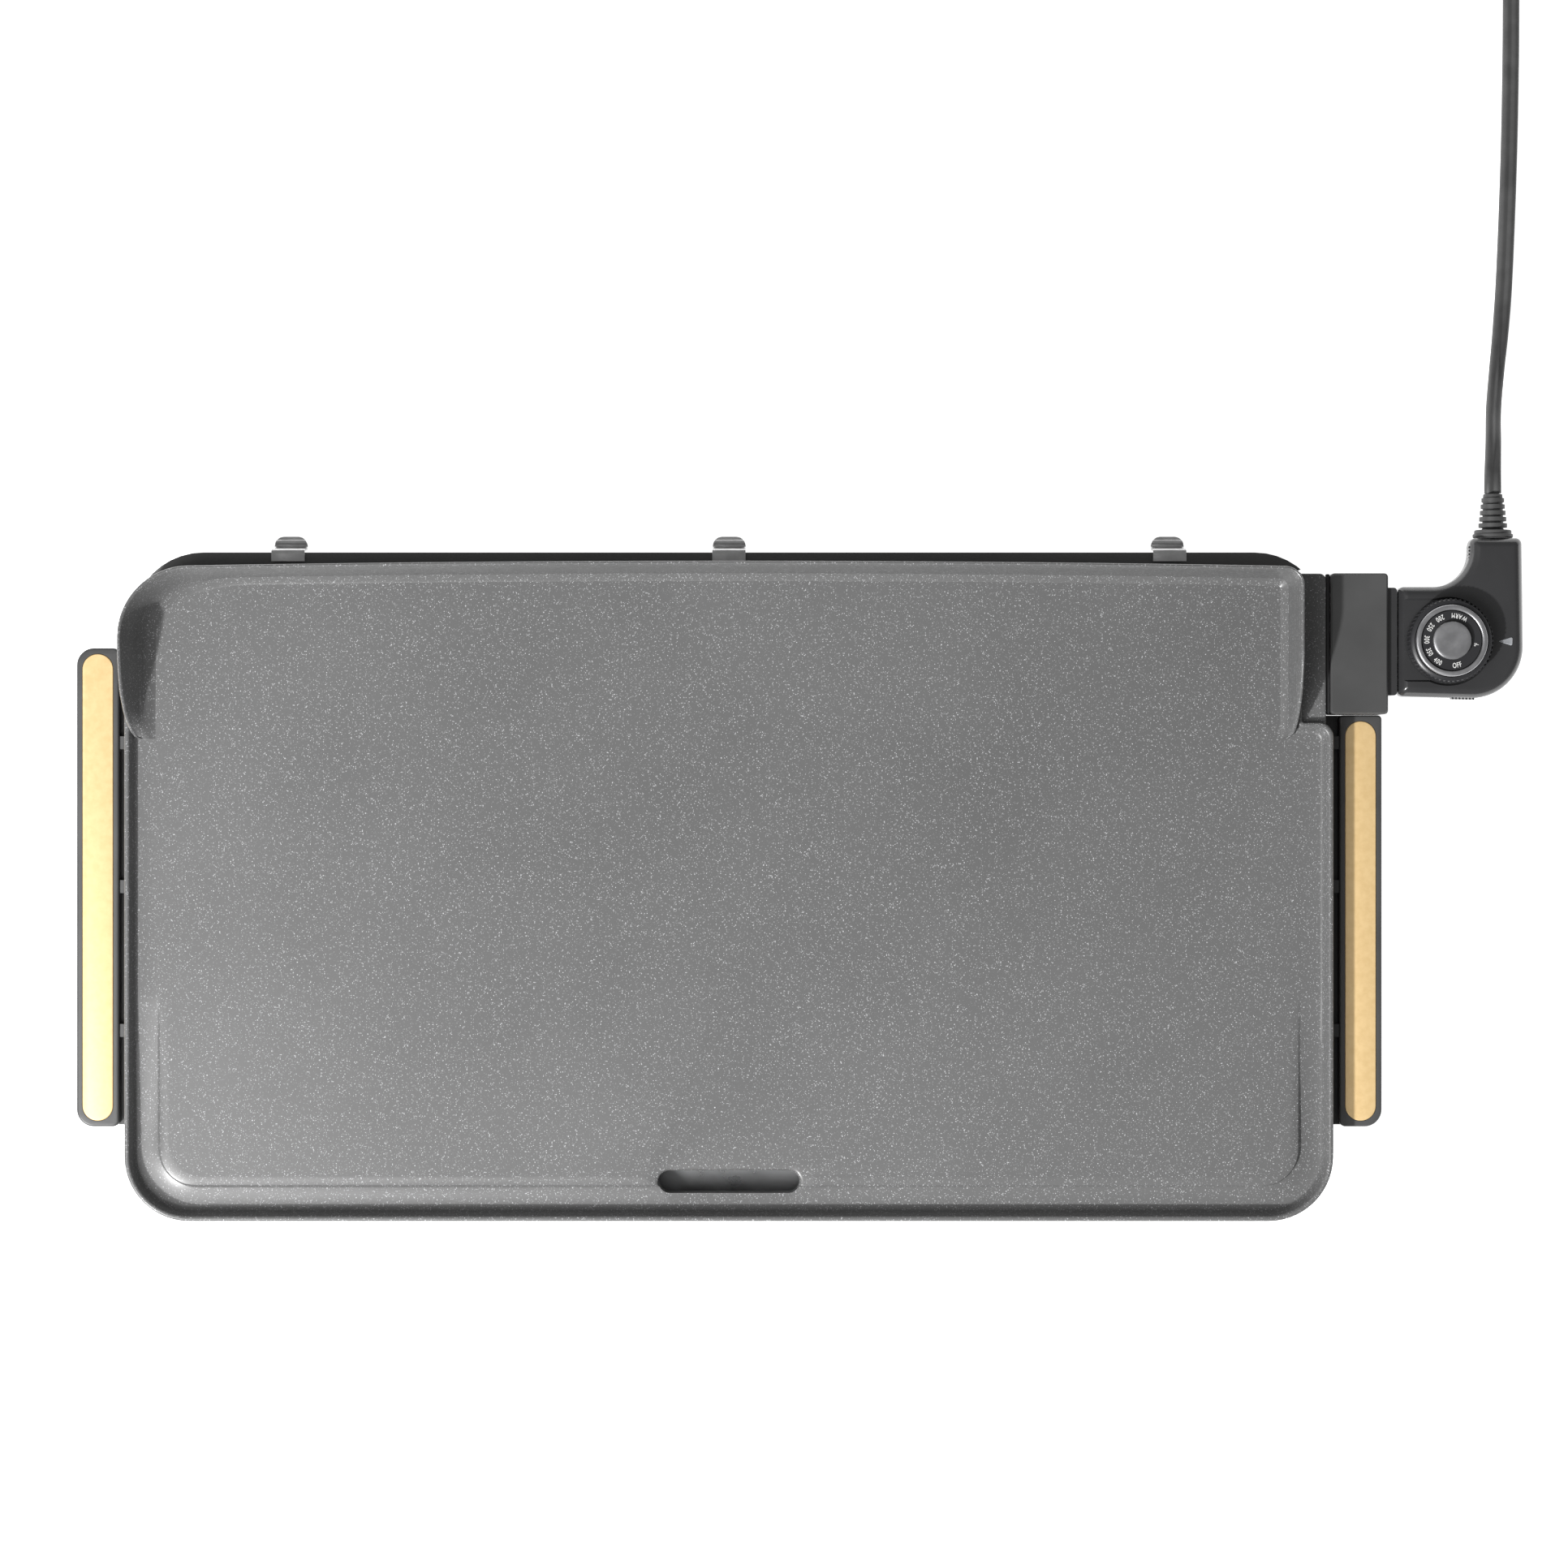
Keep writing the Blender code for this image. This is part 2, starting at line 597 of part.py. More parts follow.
def drip_tray():
    half = TRAY_WIDTH / 2
    front, rear = BASE_FRONT, BASE_FRONT + TRAY_DEPTH
    outline = rectangle(-half, half, front, rear, 5)
    tray = make("drip_tray", prism(outline, TRAY_Z, TRAY_Z + TRAY_HEIGHT), STEEL)
    hollow = prism(shrunk(outline, TRAY_WALL), TRAY_Z + TRAY_WALL, TRAY_Z + TRAY_HEIGHT + 5)
    combine(tray, make("tray_hollow", hollow))
    x = half - 12
    strip = block(
        -x - TRAY_RAIL_WIDTH / 2,
        -x + TRAY_RAIL_WIDTH / 2,
        front + BASE_WALL + 1,
        rear,
        BASE_FLOOR_Z + BASE_WALL + GAP,
        TRAY_Z - GAP,
    )
    rail = make("tray_rail_left", strip, STEEL)
    copies(rail, ["tray_rail_right"], [(2 * x, 0, 0)])


# Sprung clips


def ribbon(path, thickness):
    """The closed outline of a bent strip, from the points along its upper side."""
    lower = []
    for index, point in enumerate(path):
        before = path[max(index - 1, 0)]
        after = path[min(index + 1, len(path) - 1)]
        along = (after - before).normalized()
        lower.append(point - Vector((-along.y, along.x)) * thickness)
    return path + lower[::-1]


def clip_pivot():
    return BASE_REAR + GAP + CLIP_SHEET, RAIL_Z - CLIP_DROP


def rear_clips():
    """A strip over the rail, down the back of the base and out to a finger tab."""
    y, z = clip_pivot()
    start = PLATE_REAR + SPLASH_BOW + 0.8
    top = RAIL_Z + GAP + CLIP_SHEET
    path = [
        Vector((start, top)),
        Vector((y - 1.0, top)),
        Vector((y - 0.2, top - 0.4)),
        Vector((y, top - 1.3)),
        Vector((y + 0.6, z + 3)),
        Vector((y + 1.6, z + 0.5)),
        Vector((y + 3.2, z - 0.6)),
        Vector((y + CLIP_REACH - 3, z + 0.6)),
        Vector((y + CLIP_REACH - 1.4, z + 0.3)),
    ]
    half = CLIP_WIDTH / 2
    outline = [Vector((point.x, point.y)) for point in ribbon(path, CLIP_SHEET)]
    build = prism(outline, -half, half)
    turn = Matrix(((0, 0, 1), (1, 0, 0), (0, 1, 0)))
    bmesh.ops.transform(build, matrix=turn.to_4x4(), verts=build.verts)
    clip = make("rear_clip_middle", build, STEEL, pivot=(0, y, z), smooth_angle=35)
    shifts = [(-CLIP_SPACING, 0, 0), (CLIP_SPACING, 0, 0)]
    copies(clip, ["rear_clip_left", "rear_clip_right"], shifts)


# Heating element, terminals and socket housing


def heating_element():
    """A sheathed tube in long loops, with both ends at the terminals."""
    pin = PIN_SPACING / 2
    start = (TERMINAL_X, CONTROL_Y + pin)
    end = (TERMINAL_X, CONTROL_Y - pin)
    left = -HALF_WIDTH + 40
    front, right = PLATE_FRONT + 52, HALF_WIDTH - 40
    first, second = front + 80, front + 150
    bends = [
        (left, start[1]),
        (left, front),
        (right, front),
        (right, first),
        (left + 70, first),
        (left + 70, second),
        (TERMINAL_X - 43, second),
        (TERMINAL_X - 43, end[1]),
    ]
    points = [start, *bends, end]
    route = [Vector(start)]
    for last, here, following in zip(points, points[1:], points[2:]):
        route += arc_corner(last, (*here, 20.0), following, 6)
    route.append(Vector(end))
    line = [(point.x, point.y, AXIS_Z) for point in route]
    tube("heating_element", line, ELEMENT_RADIUS, STEEL, 2)


def element_straps():
    """Saddles that hold the tube up against the plate."""
    inner = ELEMENT_RADIUS + GAP
    angles = [math.pi + math.pi * step / 8 for step in range(9)]
    path = [Vector((-inner - 6, UNDER_Z - GAP - AXIS_Z))]
    path += [Vector((-inner - 1, UNDER_Z - GAP - AXIS_Z))]
    path += [Vector((inner * math.cos(angle), inner * math.sin(angle))) for angle in angles]
    path += [Vector((inner + 1, UNDER_Z - GAP - AXIS_Z)), Vector((inner + 6, UNDER_Z - GAP - AXIS_Z))]
    outline = ribbon(path, 1.0)
    build = swung(prism(outline, -5, 5), "X", math.pi / 2, (0, 0, 0))
    bmesh.ops.rotate(build, verts=build.verts, cent=(0, 0, 0), matrix=Matrix.Rotation(math.pi / 2, 3, "Z"))
    rear_y = CONTROL_Y + PIN_SPACING / 2
    bmesh.ops.translate(build, verts=build.verts, vec=(-120, rear_y, AXIS_Z))
    strap = make("element_strap_1", build, STEEL)
    front_y = PLATE_FRONT + 52
    shifts = [(220, 0, 0), (0, front_y - rear_y, 0), (220, front_y - rear_y, 0)]
    copies(strap, [f"element_strap_{number}" for number in (2, 3, 4)], shifts)


def terminals():
    pin_end = HOUSING_FACE - 4
    y = CONTROL_Y - PIN_SPACING / 2
    pin_build = rod_along_x(TERMINAL_X + GAP, pin_end, y, AXIS_Z, PIN_RADIUS, 16)
    pin = make("terminal_pin_front", pin_build, STEEL, smooth_angle=35)
    copies(pin, ["terminal_pin_rear"], [(0, PIN_SPACING, 0)])
    half = PIN_SPACING / 2 + 6.5
    left, right = WING_X - 4, SHELF_X - 9
    block_build = block(left, right, CONTROL_Y - half, CONTROL_Y + half, AXIS_Z - 5, AXIS_Z + 4.5)
    insulator = make("terminal_insulator", block_build, CERAMIC)
    for name, offset, radius in (
        ("front", -PIN_SPACING / 2, PIN_RADIUS),
        ("rear", PIN_SPACING / 2, PIN_RADIUS),
        ("middle", 0, ROD_RADIUS),
    ):
        hole = rod_along_x(left - 5, right + 5, CONTROL_Y + offset, AXIS_Z, radius + GAP, 16)
        combine(insulator, make(f"insulator_hole_{name}", hole))


def socket_housing():
    """The shroud round the terminals, open on the outer side for the controller's nose."""
    rear = HOUSING_START + HOUSING_LENGTH
    bottom = HOUSING_TOP - HOUSING_HEIGHT
    outline = rectangle(HOUSING_X, HOUSING_FACE, HOUSING_START, rear, 1.7)
    levels = [(0, bottom), (0, HOUSING_TOP - 0.8), (0.8, HOUSING_TOP)]
    build = loft([lift(shrunk(outline, inset), z) for inset, z in levels])
    housing = make("socket_housing", build, GREY_PLASTIC, smooth_angle=35)
    hollow = block(
        HOUSING_X + HOUSING_WALL,
        HOUSING_FACE + 9,
        HOUSING_START + HOUSING_WALL,
        rear - HOUSING_WALL,
        bottom + HOUSING_WALL,
        HOUSING_TOP - HOUSING_WALL,
    )
    combine(housing, make("housing_hollow", hollow))
    half = PIN_SPACING / 2 + 6
    window = block(HOUSING_X - 5, HOUSING_X + 5, CONTROL_Y - half, CONTROL_Y + half, AXIS_Z - 6, AXIS_Z + 6)
    combine(housing, make("housing_window", window))
    z = SHELF_Z - 6
    for index, y in enumerate(screw_spots()):
        combine(housing, make(f"housing_hole_{index}", rod_along_x(HOUSING_X - 5, HOUSING_X + 5, y, z, 2.2, 12)))
    inner_face = HOUSING_X + HOUSING_WALL + GAP
    profile = [(0, 0), (1.8, 0), (1.8, inner_face - WING_X - 5), (3.6, inner_face - WING_X - 5)]
    profile += [(3.6, inner_face - WING_X - 3), (0, inner_face - WING_X - 3)]
    first, second = screw_spots()
    build = swung(turned(profile, 14), "Y", math.pi / 2, (WING_X + 5, first, z))
    screw = make("housing_screw_front", build, STEEL, smooth_angle=35)
    copies(screw, ["housing_screw_rear"], [(0, second - first, 0)])


# Controller


def case_outline():
    return rounded(
        [
            (CASE_X, CASE_FRONT, 4),
            (CASE_RIGHT, CASE_FRONT - 1.6, 24),
            (CASE_RIGHT - 1.1, NECK_REAR, 4),
            (NECK_X - NECK_WIDTH / 2, NECK_REAR, 4),
            (NECK_X - NECK_WIDTH / 2, CASE_REAR, 15.5),
            (CASE_X, CASE_REAR, 4),
        ],
        8,
    )


def lens_outline():
    x = KNOB_X + KNOB_RADIUS + 3.5
    corners = [(x, CONTROL_Y, 0.3), (x + 6.9, CONTROL_Y - 2, 0.6), (x + 6.9, CONTROL_Y + 2, 0.6)]
    return rounded(corners, 2)


def casings():
    """Two shells that meet at mid height, with holes for the shaft, lens and screws."""
    outline = case_outline()
    seam = CASE_Z + CASE_HEIGHT / 2
    inner = shrunk(outline, CASE_WALL + 0.6)
    lower_levels = [(2.5, CASE_Z), (0, CASE_Z + 3), (0, seam - GAP / 2)]
    upper_levels = [(0.8, seam + GAP / 2), (0.8, CASE_TOP - 3), (3, CASE_TOP)]
    lower_build = loft([lift(shrunk(outline, inset), z) for inset, z in lower_levels])
    upper_build = loft([lift(shrunk(outline, inset), z) for inset, z in upper_levels])
    lower = make("controller_lower_casing", lower_build, BLACK_PLASTIC, smooth_angle=35)
    upper = make("controller_upper_casing", upper_build, BLACK_PLASTIC, smooth_angle=35)
    combine(lower, make("lower_hollow", prism(inner, CASE_Z + CASE_WALL, seam + 5)))
    combine(upper, make("upper_hollow", prism(inner, seam - 5, CASE_TOP - CASE_WALL)))
    shaft_hole = prism(circle(3.5, 20, KNOB_X, CONTROL_Y), CASE_TOP - 9, CASE_TOP + 9)
    combine(upper, make("shaft_hole", shaft_hole))
    pocket = prism(shrunk(lens_outline(), -GAP), CASE_TOP - 1.2, CASE_TOP + 5)
    combine(upper, make("lens_pocket", pocket))
    make("indicator_lens", prism(lens_outline(), CASE_TOP - 1.2 + GAP, CASE_TOP + 0.6), AMBER)
    slot = PIN_SPACING / 2 + 5
    window = block(CASE_X - 5, CASE_X + 5, CONTROL_Y - slot, CONTROL_Y + slot, AXIS_Z - 5, AXIS_Z + 5)
    for piece, name in ((lower, "lower_window"), (upper, "upper_window")):
        combine(piece, make(name, window.copy()))
    window.free()
    for name, x, y in (
        ("front", CASE_X + 8, CASE_FRONT + 7),
        ("rear", NECK_X, NECK_REAR - 12),
    ):
        hole = prism(circle(3.6, 16, x, y), CASE_Z - 5, CASE_Z + CASE_WALL + 1)
        combine(lower, make(f"screw_hole_{name}", hole))
        head, shank, length = 3.2, 1.6, CASE_HEIGHT - 2 * CASE_WALL
        profile = [(0, 0), (head, 0), (head, 1.8), (shank, 1.8), (shank, length), (0, length)]
        build = swung(turned(profile, 14), "Z", 0, (x, y, CASE_Z + 0.6))
        make(f"casing_screw_{name}", build, STEEL, smooth_angle=35)


def controller_nose():
    start, end = CASE_X - GAP - NOSE_LENGTH, CASE_X - GAP
    half = CASE_LENGTH / 2 - 0.5
    outline = rectangle(start, end, CONTROL_Y - half, CONTROL_Y + half, 1.5)
    nose = make("controller_nose", prism(outline, AXIS_Z - 10, AXIS_Z + 9.5), BLACK_PLASTIC)
    radius = PIN_RADIUS + GAP
    for name, offset, hole_radius in (
        ("front", -PIN_SPACING / 2, radius + 1.2 + GAP),
        ("rear", PIN_SPACING / 2, radius + 1.2 + GAP),
        ("middle", 0, ROD_RADIUS + GAP),
    ):
        hole = rod_along_x(start - 5, end + 5, CONTROL_Y + offset, AXIS_Z, hole_radius, 16)
        combine(nose, make(f"nose_hole_{name}", hole))
    sleeve = [(radius, 0), (radius + 1.2, 0), (radius + 1.2, NOSE_LENGTH - 1), (radius, NOSE_LENGTH - 1)]
    shift = (start + 0.5, CONTROL_Y - PIN_SPACING / 2, AXIS_Z)
    contact = make("contact_sleeve_front", swung(turned(sleeve, 16), "Y", math.pi / 2, shift), STEEL)
    copies(contact, ["contact_sleeve_rear"], [(0, PIN_SPACING, 0)])
    rod_end = CASE_X + 6
    make(
        "probe_rod",
        rod_along_x(WING_X - 52, rod_end, CONTROL_Y, AXIS_Z, ROD_RADIUS, 16),
        STEEL,
        smooth_angle=35,
    )
    body = block(
        rod_end + GAP,
        rod_end + 30,
        CONTROL_Y - 15,
        CONTROL_Y + 15,
        CASE_Z + CASE_WALL + GAP,
        CASE_TOP - CASE_WALL - 4,
    )
    make("thermostat_body", body, STEEL)
    lamp_x = KNOB_X + KNOB_RADIUS + 7
    lamp = prism(circle(2.4, 14, lamp_x, CONTROL_Y), CASE_TOP - CASE_WALL - 9, CASE_TOP - CASE_WALL - GAP)
    make("pilot_lamp", lamp, AMBER)


def dial():
    """The knob and its trim, all turning on one upright shaft."""
    axis = (KNOB_X, CONTROL_Y, KNOB_Z)
    wave = [math.pi * step / KNOB_RIDGES for step in range(2 * KNOB_RIDGES)]
    outline = [
        Vector((math.cos(angle), math.sin(angle))) * (KNOB_RADIUS - 0.7 * (index % 2))
        + Vector((KNOB_X, CONTROL_Y))
        for index, angle in enumerate(wave)
    ]
    levels = [(0, KNOB_Z), (0, KNOB_Z + KNOB_HEIGHT - 1), (1.2, KNOB_Z + KNOB_HEIGHT)]
    build = loft([lift(shrunk(outline, inset), z) for inset, z in levels])
    knob = make("dial_knob", build, BLACK_PLASTIC, pivot=axis)
    seat = KNOB_Z + KNOB_HEIGHT - 2
    recess = prism(circle(DIAL_RING_RADIUS + GAP, 40, KNOB_X, CONTROL_Y), seat, seat + 9)
    combine(knob, make("knob_recess", recess))
    low = seat + GAP
    ring = [(DIAL_FACE_RADIUS + GAP, low), (DIAL_RING_RADIUS, low), (DIAL_RING_RADIUS, low + 2.6)]
    ring += [(DIAL_RING_RADIUS - 0.7, low + 3.2), (DIAL_FACE_RADIUS + GAP, low + 3.2)]
    face = [(0, low), (DIAL_FACE_RADIUS, low), (DIAL_FACE_RADIUS, low + 2.2), (0, low + 2.2)]
    cap_low = low + 2.2 + GAP
    cap = [(0, cap_low), (DIAL_CAP_RADIUS, cap_low), (DIAL_CAP_RADIUS, cap_low + 1.2)]
    cap += [(DIAL_CAP_RADIUS - 1, cap_low + 2), (0, cap_low + 2)]
    shaft_low = CASE_TOP - CASE_WALL - 4 + GAP
    shaft = [(0, shaft_low), (3, shaft_low), (3, KNOB_Z - 0.1), (0, KNOB_Z - 0.1)]
    for name, profile, finish, sides in (
        ("dial_ring", ring, CHROME, 40),
        ("dial_face", face, BLACK_PLASTIC, 40),
        ("dial_cap", cap, CHROME, 36),
        ("dial_shaft", shaft, STEEL, 20),
    ):
        build = swung(turned(profile, sides), "Z", 0, (KNOB_X, CONTROL_Y, 0))
        make(name, build, finish, pivot=axis, smooth_angle=35)


# Strain relief, cord, coil and plug


def strain_relief():
    profile = [(0, 0), (9.5, 0), (9.5, 3.6), (6.9, 3.6)]
    pitch = (RELIEF_LENGTH - 3.6) / RELIEF_RINGS
    for index in range(RELIEF_RINGS):
        low = 3.6 + pitch * index
        radius = 6.5 - 0.3 * index
        profile += [(radius - 1.2, low + 0.3), (radius - 1.2, low + 0.9), (radius, low + 1.1)]
        profile += [(radius, low + pitch - 0.1)]
    profile.append((0, RELIEF_LENGTH - 0.1))
    build = swung(turned(profile, 20), "X", -math.pi / 2, (NECK_X, RELIEF_Y, AXIS_Z))
    make("strain_relief", build, BLACK_PLASTIC, smooth_angle=35)


def power_cord():
    """The cord drops to the table and runs back to the coil."""
    rest = CORD_WIDTH / 2 + 0.3
    points = [
        (NECK_X, CORD_START, AXIS_Z),
        (NECK_X, CORD_START + 8, AXIS_Z),
        (NECK_X + 2, CORD_START + 24, AXIS_Z - 10),
        (NECK_X + 5, CORD_START + 42, 25),
        (NECK_X + 9, CORD_START + 62, 11),
        (NECK_X + 12, CORD_START + 82, rest + 1),
        (NECK_X + 14, CORD_START + 108, rest),
        (NECK_X + 16, CORD_START + 160, rest),
        (NECK_X + 17, CORD_START + 210, rest),
        (NECK_X + 17, COIL_Y - COIL_OUTER + 12, rest),
    ]
    tube("power_cord", smooth_route(points, 2.4 * CORD_WIDTH), CORD_WIDTH / 2, BLACK_PLASTIC, 3)


def cord_coil():
    low, high = 0.5, 0.5 + COIL_HEIGHT
    bevel = 3.0
    profile = [
        (COIL_INNER, low + bevel),
        (COIL_INNER + bevel, low),
        (COIL_OUTER - bevel, low),
        (COIL_OUTER, low + bevel),
        (COIL_OUTER, high - bevel),
        (COIL_OUTER - bevel, high),
        (COIL_INNER + bevel, high),
        (COIL_INNER, high - bevel),
    ]
    build = swung(turned(profile, 40), "Z", 0, (COIL_X, COIL_Y, 0))
    make("cord_coil", build, BLACK_PLASTIC, smooth_angle=35)


def plug():
    """A two-blade plug beside the coil, where the cord leaves the turns and heads to the left."""
    start = COIL_X - math.sqrt(COIL_OUTER**2 - (COIL_TURN - SLEEVE_RADIUS) ** 2) - GAP
    y = COIL_Y + COIL_TURN
    z = PLUG_HEIGHT / 2 + 0.5
    flare = SLEEVE_RADIUS + 1
    half_width, half_height = PLUG_WIDTH / 2, PLUG_HEIGHT / 2
    sections = [(0, SLEEVE_RADIUS, SLEEVE_RADIUS), (SLEEVE_LENGTH, flare, flare)]
    sections += [(SLEEVE_LENGTH + 3, half_width, half_height)]
    sections += [(SLEEVE_LENGTH + PLUG_LENGTH, half_width, half_height)]
    rings = []
    for along, half_width, half_height in sections:
        outline = rectangle(-half_height, half_height, -half_width, half_width, half_height - 0.5)
        rings.append([Vector((start - along, y + point.y, z + point.x)) for point in outline])
    make("plug_body", loft(rings), BLACK_PLASTIC, smooth_angle=35)
    face = start - SLEEVE_LENGTH - PLUG_LENGTH - GAP
    blade_y = y - BLADE_SPACING / 2
    blade_build = block(
        face - BLADE_LENGTH,
        face,
        blade_y - BLADE_THICKNESS / 2,
        blade_y + BLADE_THICKNESS / 2,
        z - BLADE_WIDTH / 2,
        z + BLADE_WIDTH / 2,
    )
    blade = make("plug_blade_left", blade_build, STEEL)
    copies(blade, ["plug_blade_right"], [(0, BLADE_SPACING, 0)])


def clear_scene():
    for old in list(bpy.data.objects):
        bpy.data.objects.remove(old)


def model_origin():
    """An empty that puts the middle of the whole object, cord left out, at the world's origin."""
    left = -HANDLE_X - HANDLE_WIDTH
    rear = clip_pivot()[0] + CLIP_REACH - 1.4
    origin = bpy.data.objects.new("griddle_origin", None)
    bpy.context.scene.collection.objects.link(origin)
    origin.location = Vector((-(left + CASE_RIGHT) / 2, -(PLATE_FRONT + rear) / 2, 0)) * MM
    return origin


clear_scene()
ORIGIN = model_origin()
griddle_plate()
base_frame()
legs()
heat_shield()
handle(-1, "left_handle", LEFT_HANDLE_REAR, HANDLE_RADIUS)
handle(1, "right_handle", RIGHT_HANDLE_REAR, 2.0)
drip_tray()
rear_clips()
heating_element()
element_straps()
terminals()
socket_housing()
casings()
controller_nose()
dial()
strain_relief()
power_cord()
cord_coil()
plug()
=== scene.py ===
# %% [markdown]
# # An electric griddle
# This lesson builds the looks of a wide electric griddle round a finished engineering model. The
# model already holds every size, joint and hidden part. Here each visible piece gets its smooth
# shape and its finish: a speckled nonstick plate, satin plastic, champagne gold inlays, spring
# steel clips, a plug-in dial controller and a flat cord.
#
# Lengths are typed in millimetres, measured from the middle of the cooking plate, because that is
# how a maker would dimension the piece. One helper turns them into metres in the model's frame.

import math

import bmesh
import bpy
from mathutils import Matrix, Vector


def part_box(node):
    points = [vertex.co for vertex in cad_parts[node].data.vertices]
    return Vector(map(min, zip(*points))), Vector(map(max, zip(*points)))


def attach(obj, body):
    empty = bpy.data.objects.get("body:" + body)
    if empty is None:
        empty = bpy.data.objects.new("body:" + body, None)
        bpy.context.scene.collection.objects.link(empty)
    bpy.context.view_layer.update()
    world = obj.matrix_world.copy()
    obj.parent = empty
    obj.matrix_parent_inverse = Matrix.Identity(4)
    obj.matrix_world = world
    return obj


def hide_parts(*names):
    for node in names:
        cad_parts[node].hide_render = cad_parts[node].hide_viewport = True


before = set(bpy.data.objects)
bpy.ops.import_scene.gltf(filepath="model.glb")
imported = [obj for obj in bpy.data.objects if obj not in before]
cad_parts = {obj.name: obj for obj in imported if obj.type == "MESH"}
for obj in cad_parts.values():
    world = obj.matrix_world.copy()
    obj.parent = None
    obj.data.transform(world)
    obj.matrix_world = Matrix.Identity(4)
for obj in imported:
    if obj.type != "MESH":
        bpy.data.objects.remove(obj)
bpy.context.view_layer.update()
MM = 0.001
PLATE_FRONT = -152.7
plate_low, plate_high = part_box("griddle_plate")
MIDDLE = Vector(((plate_low.x + plate_high.x) / 2, plate_low.y - PLATE_FRONT * MM, 0.0))


def at(x, y, z):
    """A place in metres from millimetres measured from the middle of the plate."""
    return Vector((x, y, z)) * MM + MIDDLE


def clamped(value):
    return min(max(value, 0.0), 1.0)


def new_object(name, data):
    """An object in the scene, at the origin."""
    made = bpy.data.objects.new(name, data)
    bpy.context.scene.collection.objects.link(made)
    return made

# %% [markdown]
# ## Camera
# The griddle is looked at from straight above, with a long lens, so that its sides hardly show.
# The camera hangs 1.9 m above the plate's rim, a little to the right of the plate's middle and
# behind it.

# %% Camera
RIM_Z = 66.0
CAMERA_X, CAMERA_Y, CAMERA_ABOVE_RIM = 25.5, 49.5, 1900.0
VIEW_WIDTH = 724.5  # seen at the rim's height
camera_data = bpy.data.cameras.new("overhead_camera")
camera_data.sensor_width = 36.0
camera_data.lens = camera_data.sensor_width * CAMERA_ABOVE_RIM / VIEW_WIDTH
camera_data.clip_end = 20.0
camera = new_object("overhead_camera", camera_data)
camera.location = at(CAMERA_X, CAMERA_Y, RIM_Z + CAMERA_ABOVE_RIM)
bpy.context.scene.camera = camera
print("lens", round(camera_data.lens, 1), "mm")

# %% [markdown]
# ## Shaping helpers
# Most pieces here are lofts: a stack of outlines with the same number of points, joined by faces
# and closed at both ends. Rounded corners come from a fillet formula, so an outline is typed as
# its few corners and their radii. Turned pieces use a profile spun about an upright axis. Each
# helper leaves a closed skin with its faces pointing outwards, which is what a printed or a
# simulated copy of the piece needs.

# %% Outlines
def arc_corner(last, here, following, segments):
    """The points of a rounded corner; here is (x, y, radius)."""
    corner = Vector(here[:2])
    to_last = (Vector(last[:2]) - corner).normalized()
    to_next = (Vector(following[:2]) - corner).normalized()
    half = to_last.angle(to_next) / 2
    centre = corner + (to_last + to_next).normalized() * (here[2] / math.sin(half))
    start = corner + to_last * (here[2] / math.tan(half)) - centre
    turn = math.pi - 2 * half
    if to_last.cross(to_next) > 0:
        turn = -turn
    return [centre + Matrix.Rotation(turn * step / segments, 2) @ start for step in range(segments + 1)]


def rounded(corners, segments=10, splits=None):
    """A closed outline, anticlockwise, with each side cut into as many parts as splits says."""
    count = len(corners)
    arcs = [
        arc_corner(corners[index - 1], corner, corners[(index + 1) % count], segments)
        for index, corner in enumerate(corners)
    ]
    outline = []
    for index, arc in enumerate(arcs):
        outline += arc
        following = arcs[(index + 1) % count][0]
        parts = splits[index] if splits else 1
        outline += [arc[-1].lerp(following, step / parts) for step in range(1, parts)]
    return outline


def box_outline(left, right, front, rear, radius, segments=8):
    """A rectangle with equally rounded corners."""
    corners = [(left, front), (right, front), (right, rear), (left, rear)]
    return rounded([(*corner, radius) for corner in corners], segments)


def circle(radius, sides, x=0.0, y=0.0):
    steps = [2 * math.pi * step / sides for step in range(sides)]
    return [Vector((x + radius * math.cos(angle), y + radius * math.sin(angle))) for angle in steps]


def shrunk(outline, distance):
    """The outline moved inwards, each point along the middle of its two sides."""
    moved = []
    for index, point in enumerate(outline):
        before = (point - outline[index - 1]).normalized()
        after = (outline[(index + 1) % len(outline)] - point).normalized()
        middle = (before + after).normalized()
        moved.append(point + Vector((-middle.y, middle.x)) * distance / max(middle.dot(after), 0.5))
    return moved


def lift(outline, z):
    return [Vector((point.x, point.y, z)) for point in outline]

# %% Solids from outlines
def loft(rings, build=None, closed=False):
    """Faces through rings of equally many points; the ends are capped unless the rings close."""
    build = build or bmesh.new()
    rows = [[build.verts.new(point) for point in ring] for ring in rings]
    pairs = list(zip(rows, rows[1:]))
    if closed:
        pairs.append((rows[-1], rows[0]))
    for lower, upper in pairs:
        for index in range(len(lower)):
            build.faces.new((lower[index - 1], lower[index], upper[index], upper[index - 1]))
    if not closed:
        build.faces.new(rows[0])
        build.faces.new(rows[-1])
    return build


def levels(outline, steps, build=None):
    """A loft of one outline through (inset, z) steps."""
    return loft([lift(shrunk(outline, inset), z) for inset, z in steps], build)


def block(left, right, front, rear, bottom, top, build=None):
    corners = [Vector(corner) for corner in ((left, front), (right, front), (right, rear), (left, rear))]
    return loft([lift(corners, bottom), lift(corners, top)], build)


def turned(profile, sides=64, x=0.0, y=0.0, build=None):
    """A body turned about an upright axis; the profile's ends are on it or the rings close."""
    closed = min(radius for radius, _ in profile) > 0.01
    rings = [lift(circle(max(radius, 0.02), sides, x, y), z) for radius, z in profile]
    return loft(rings, build, closed)


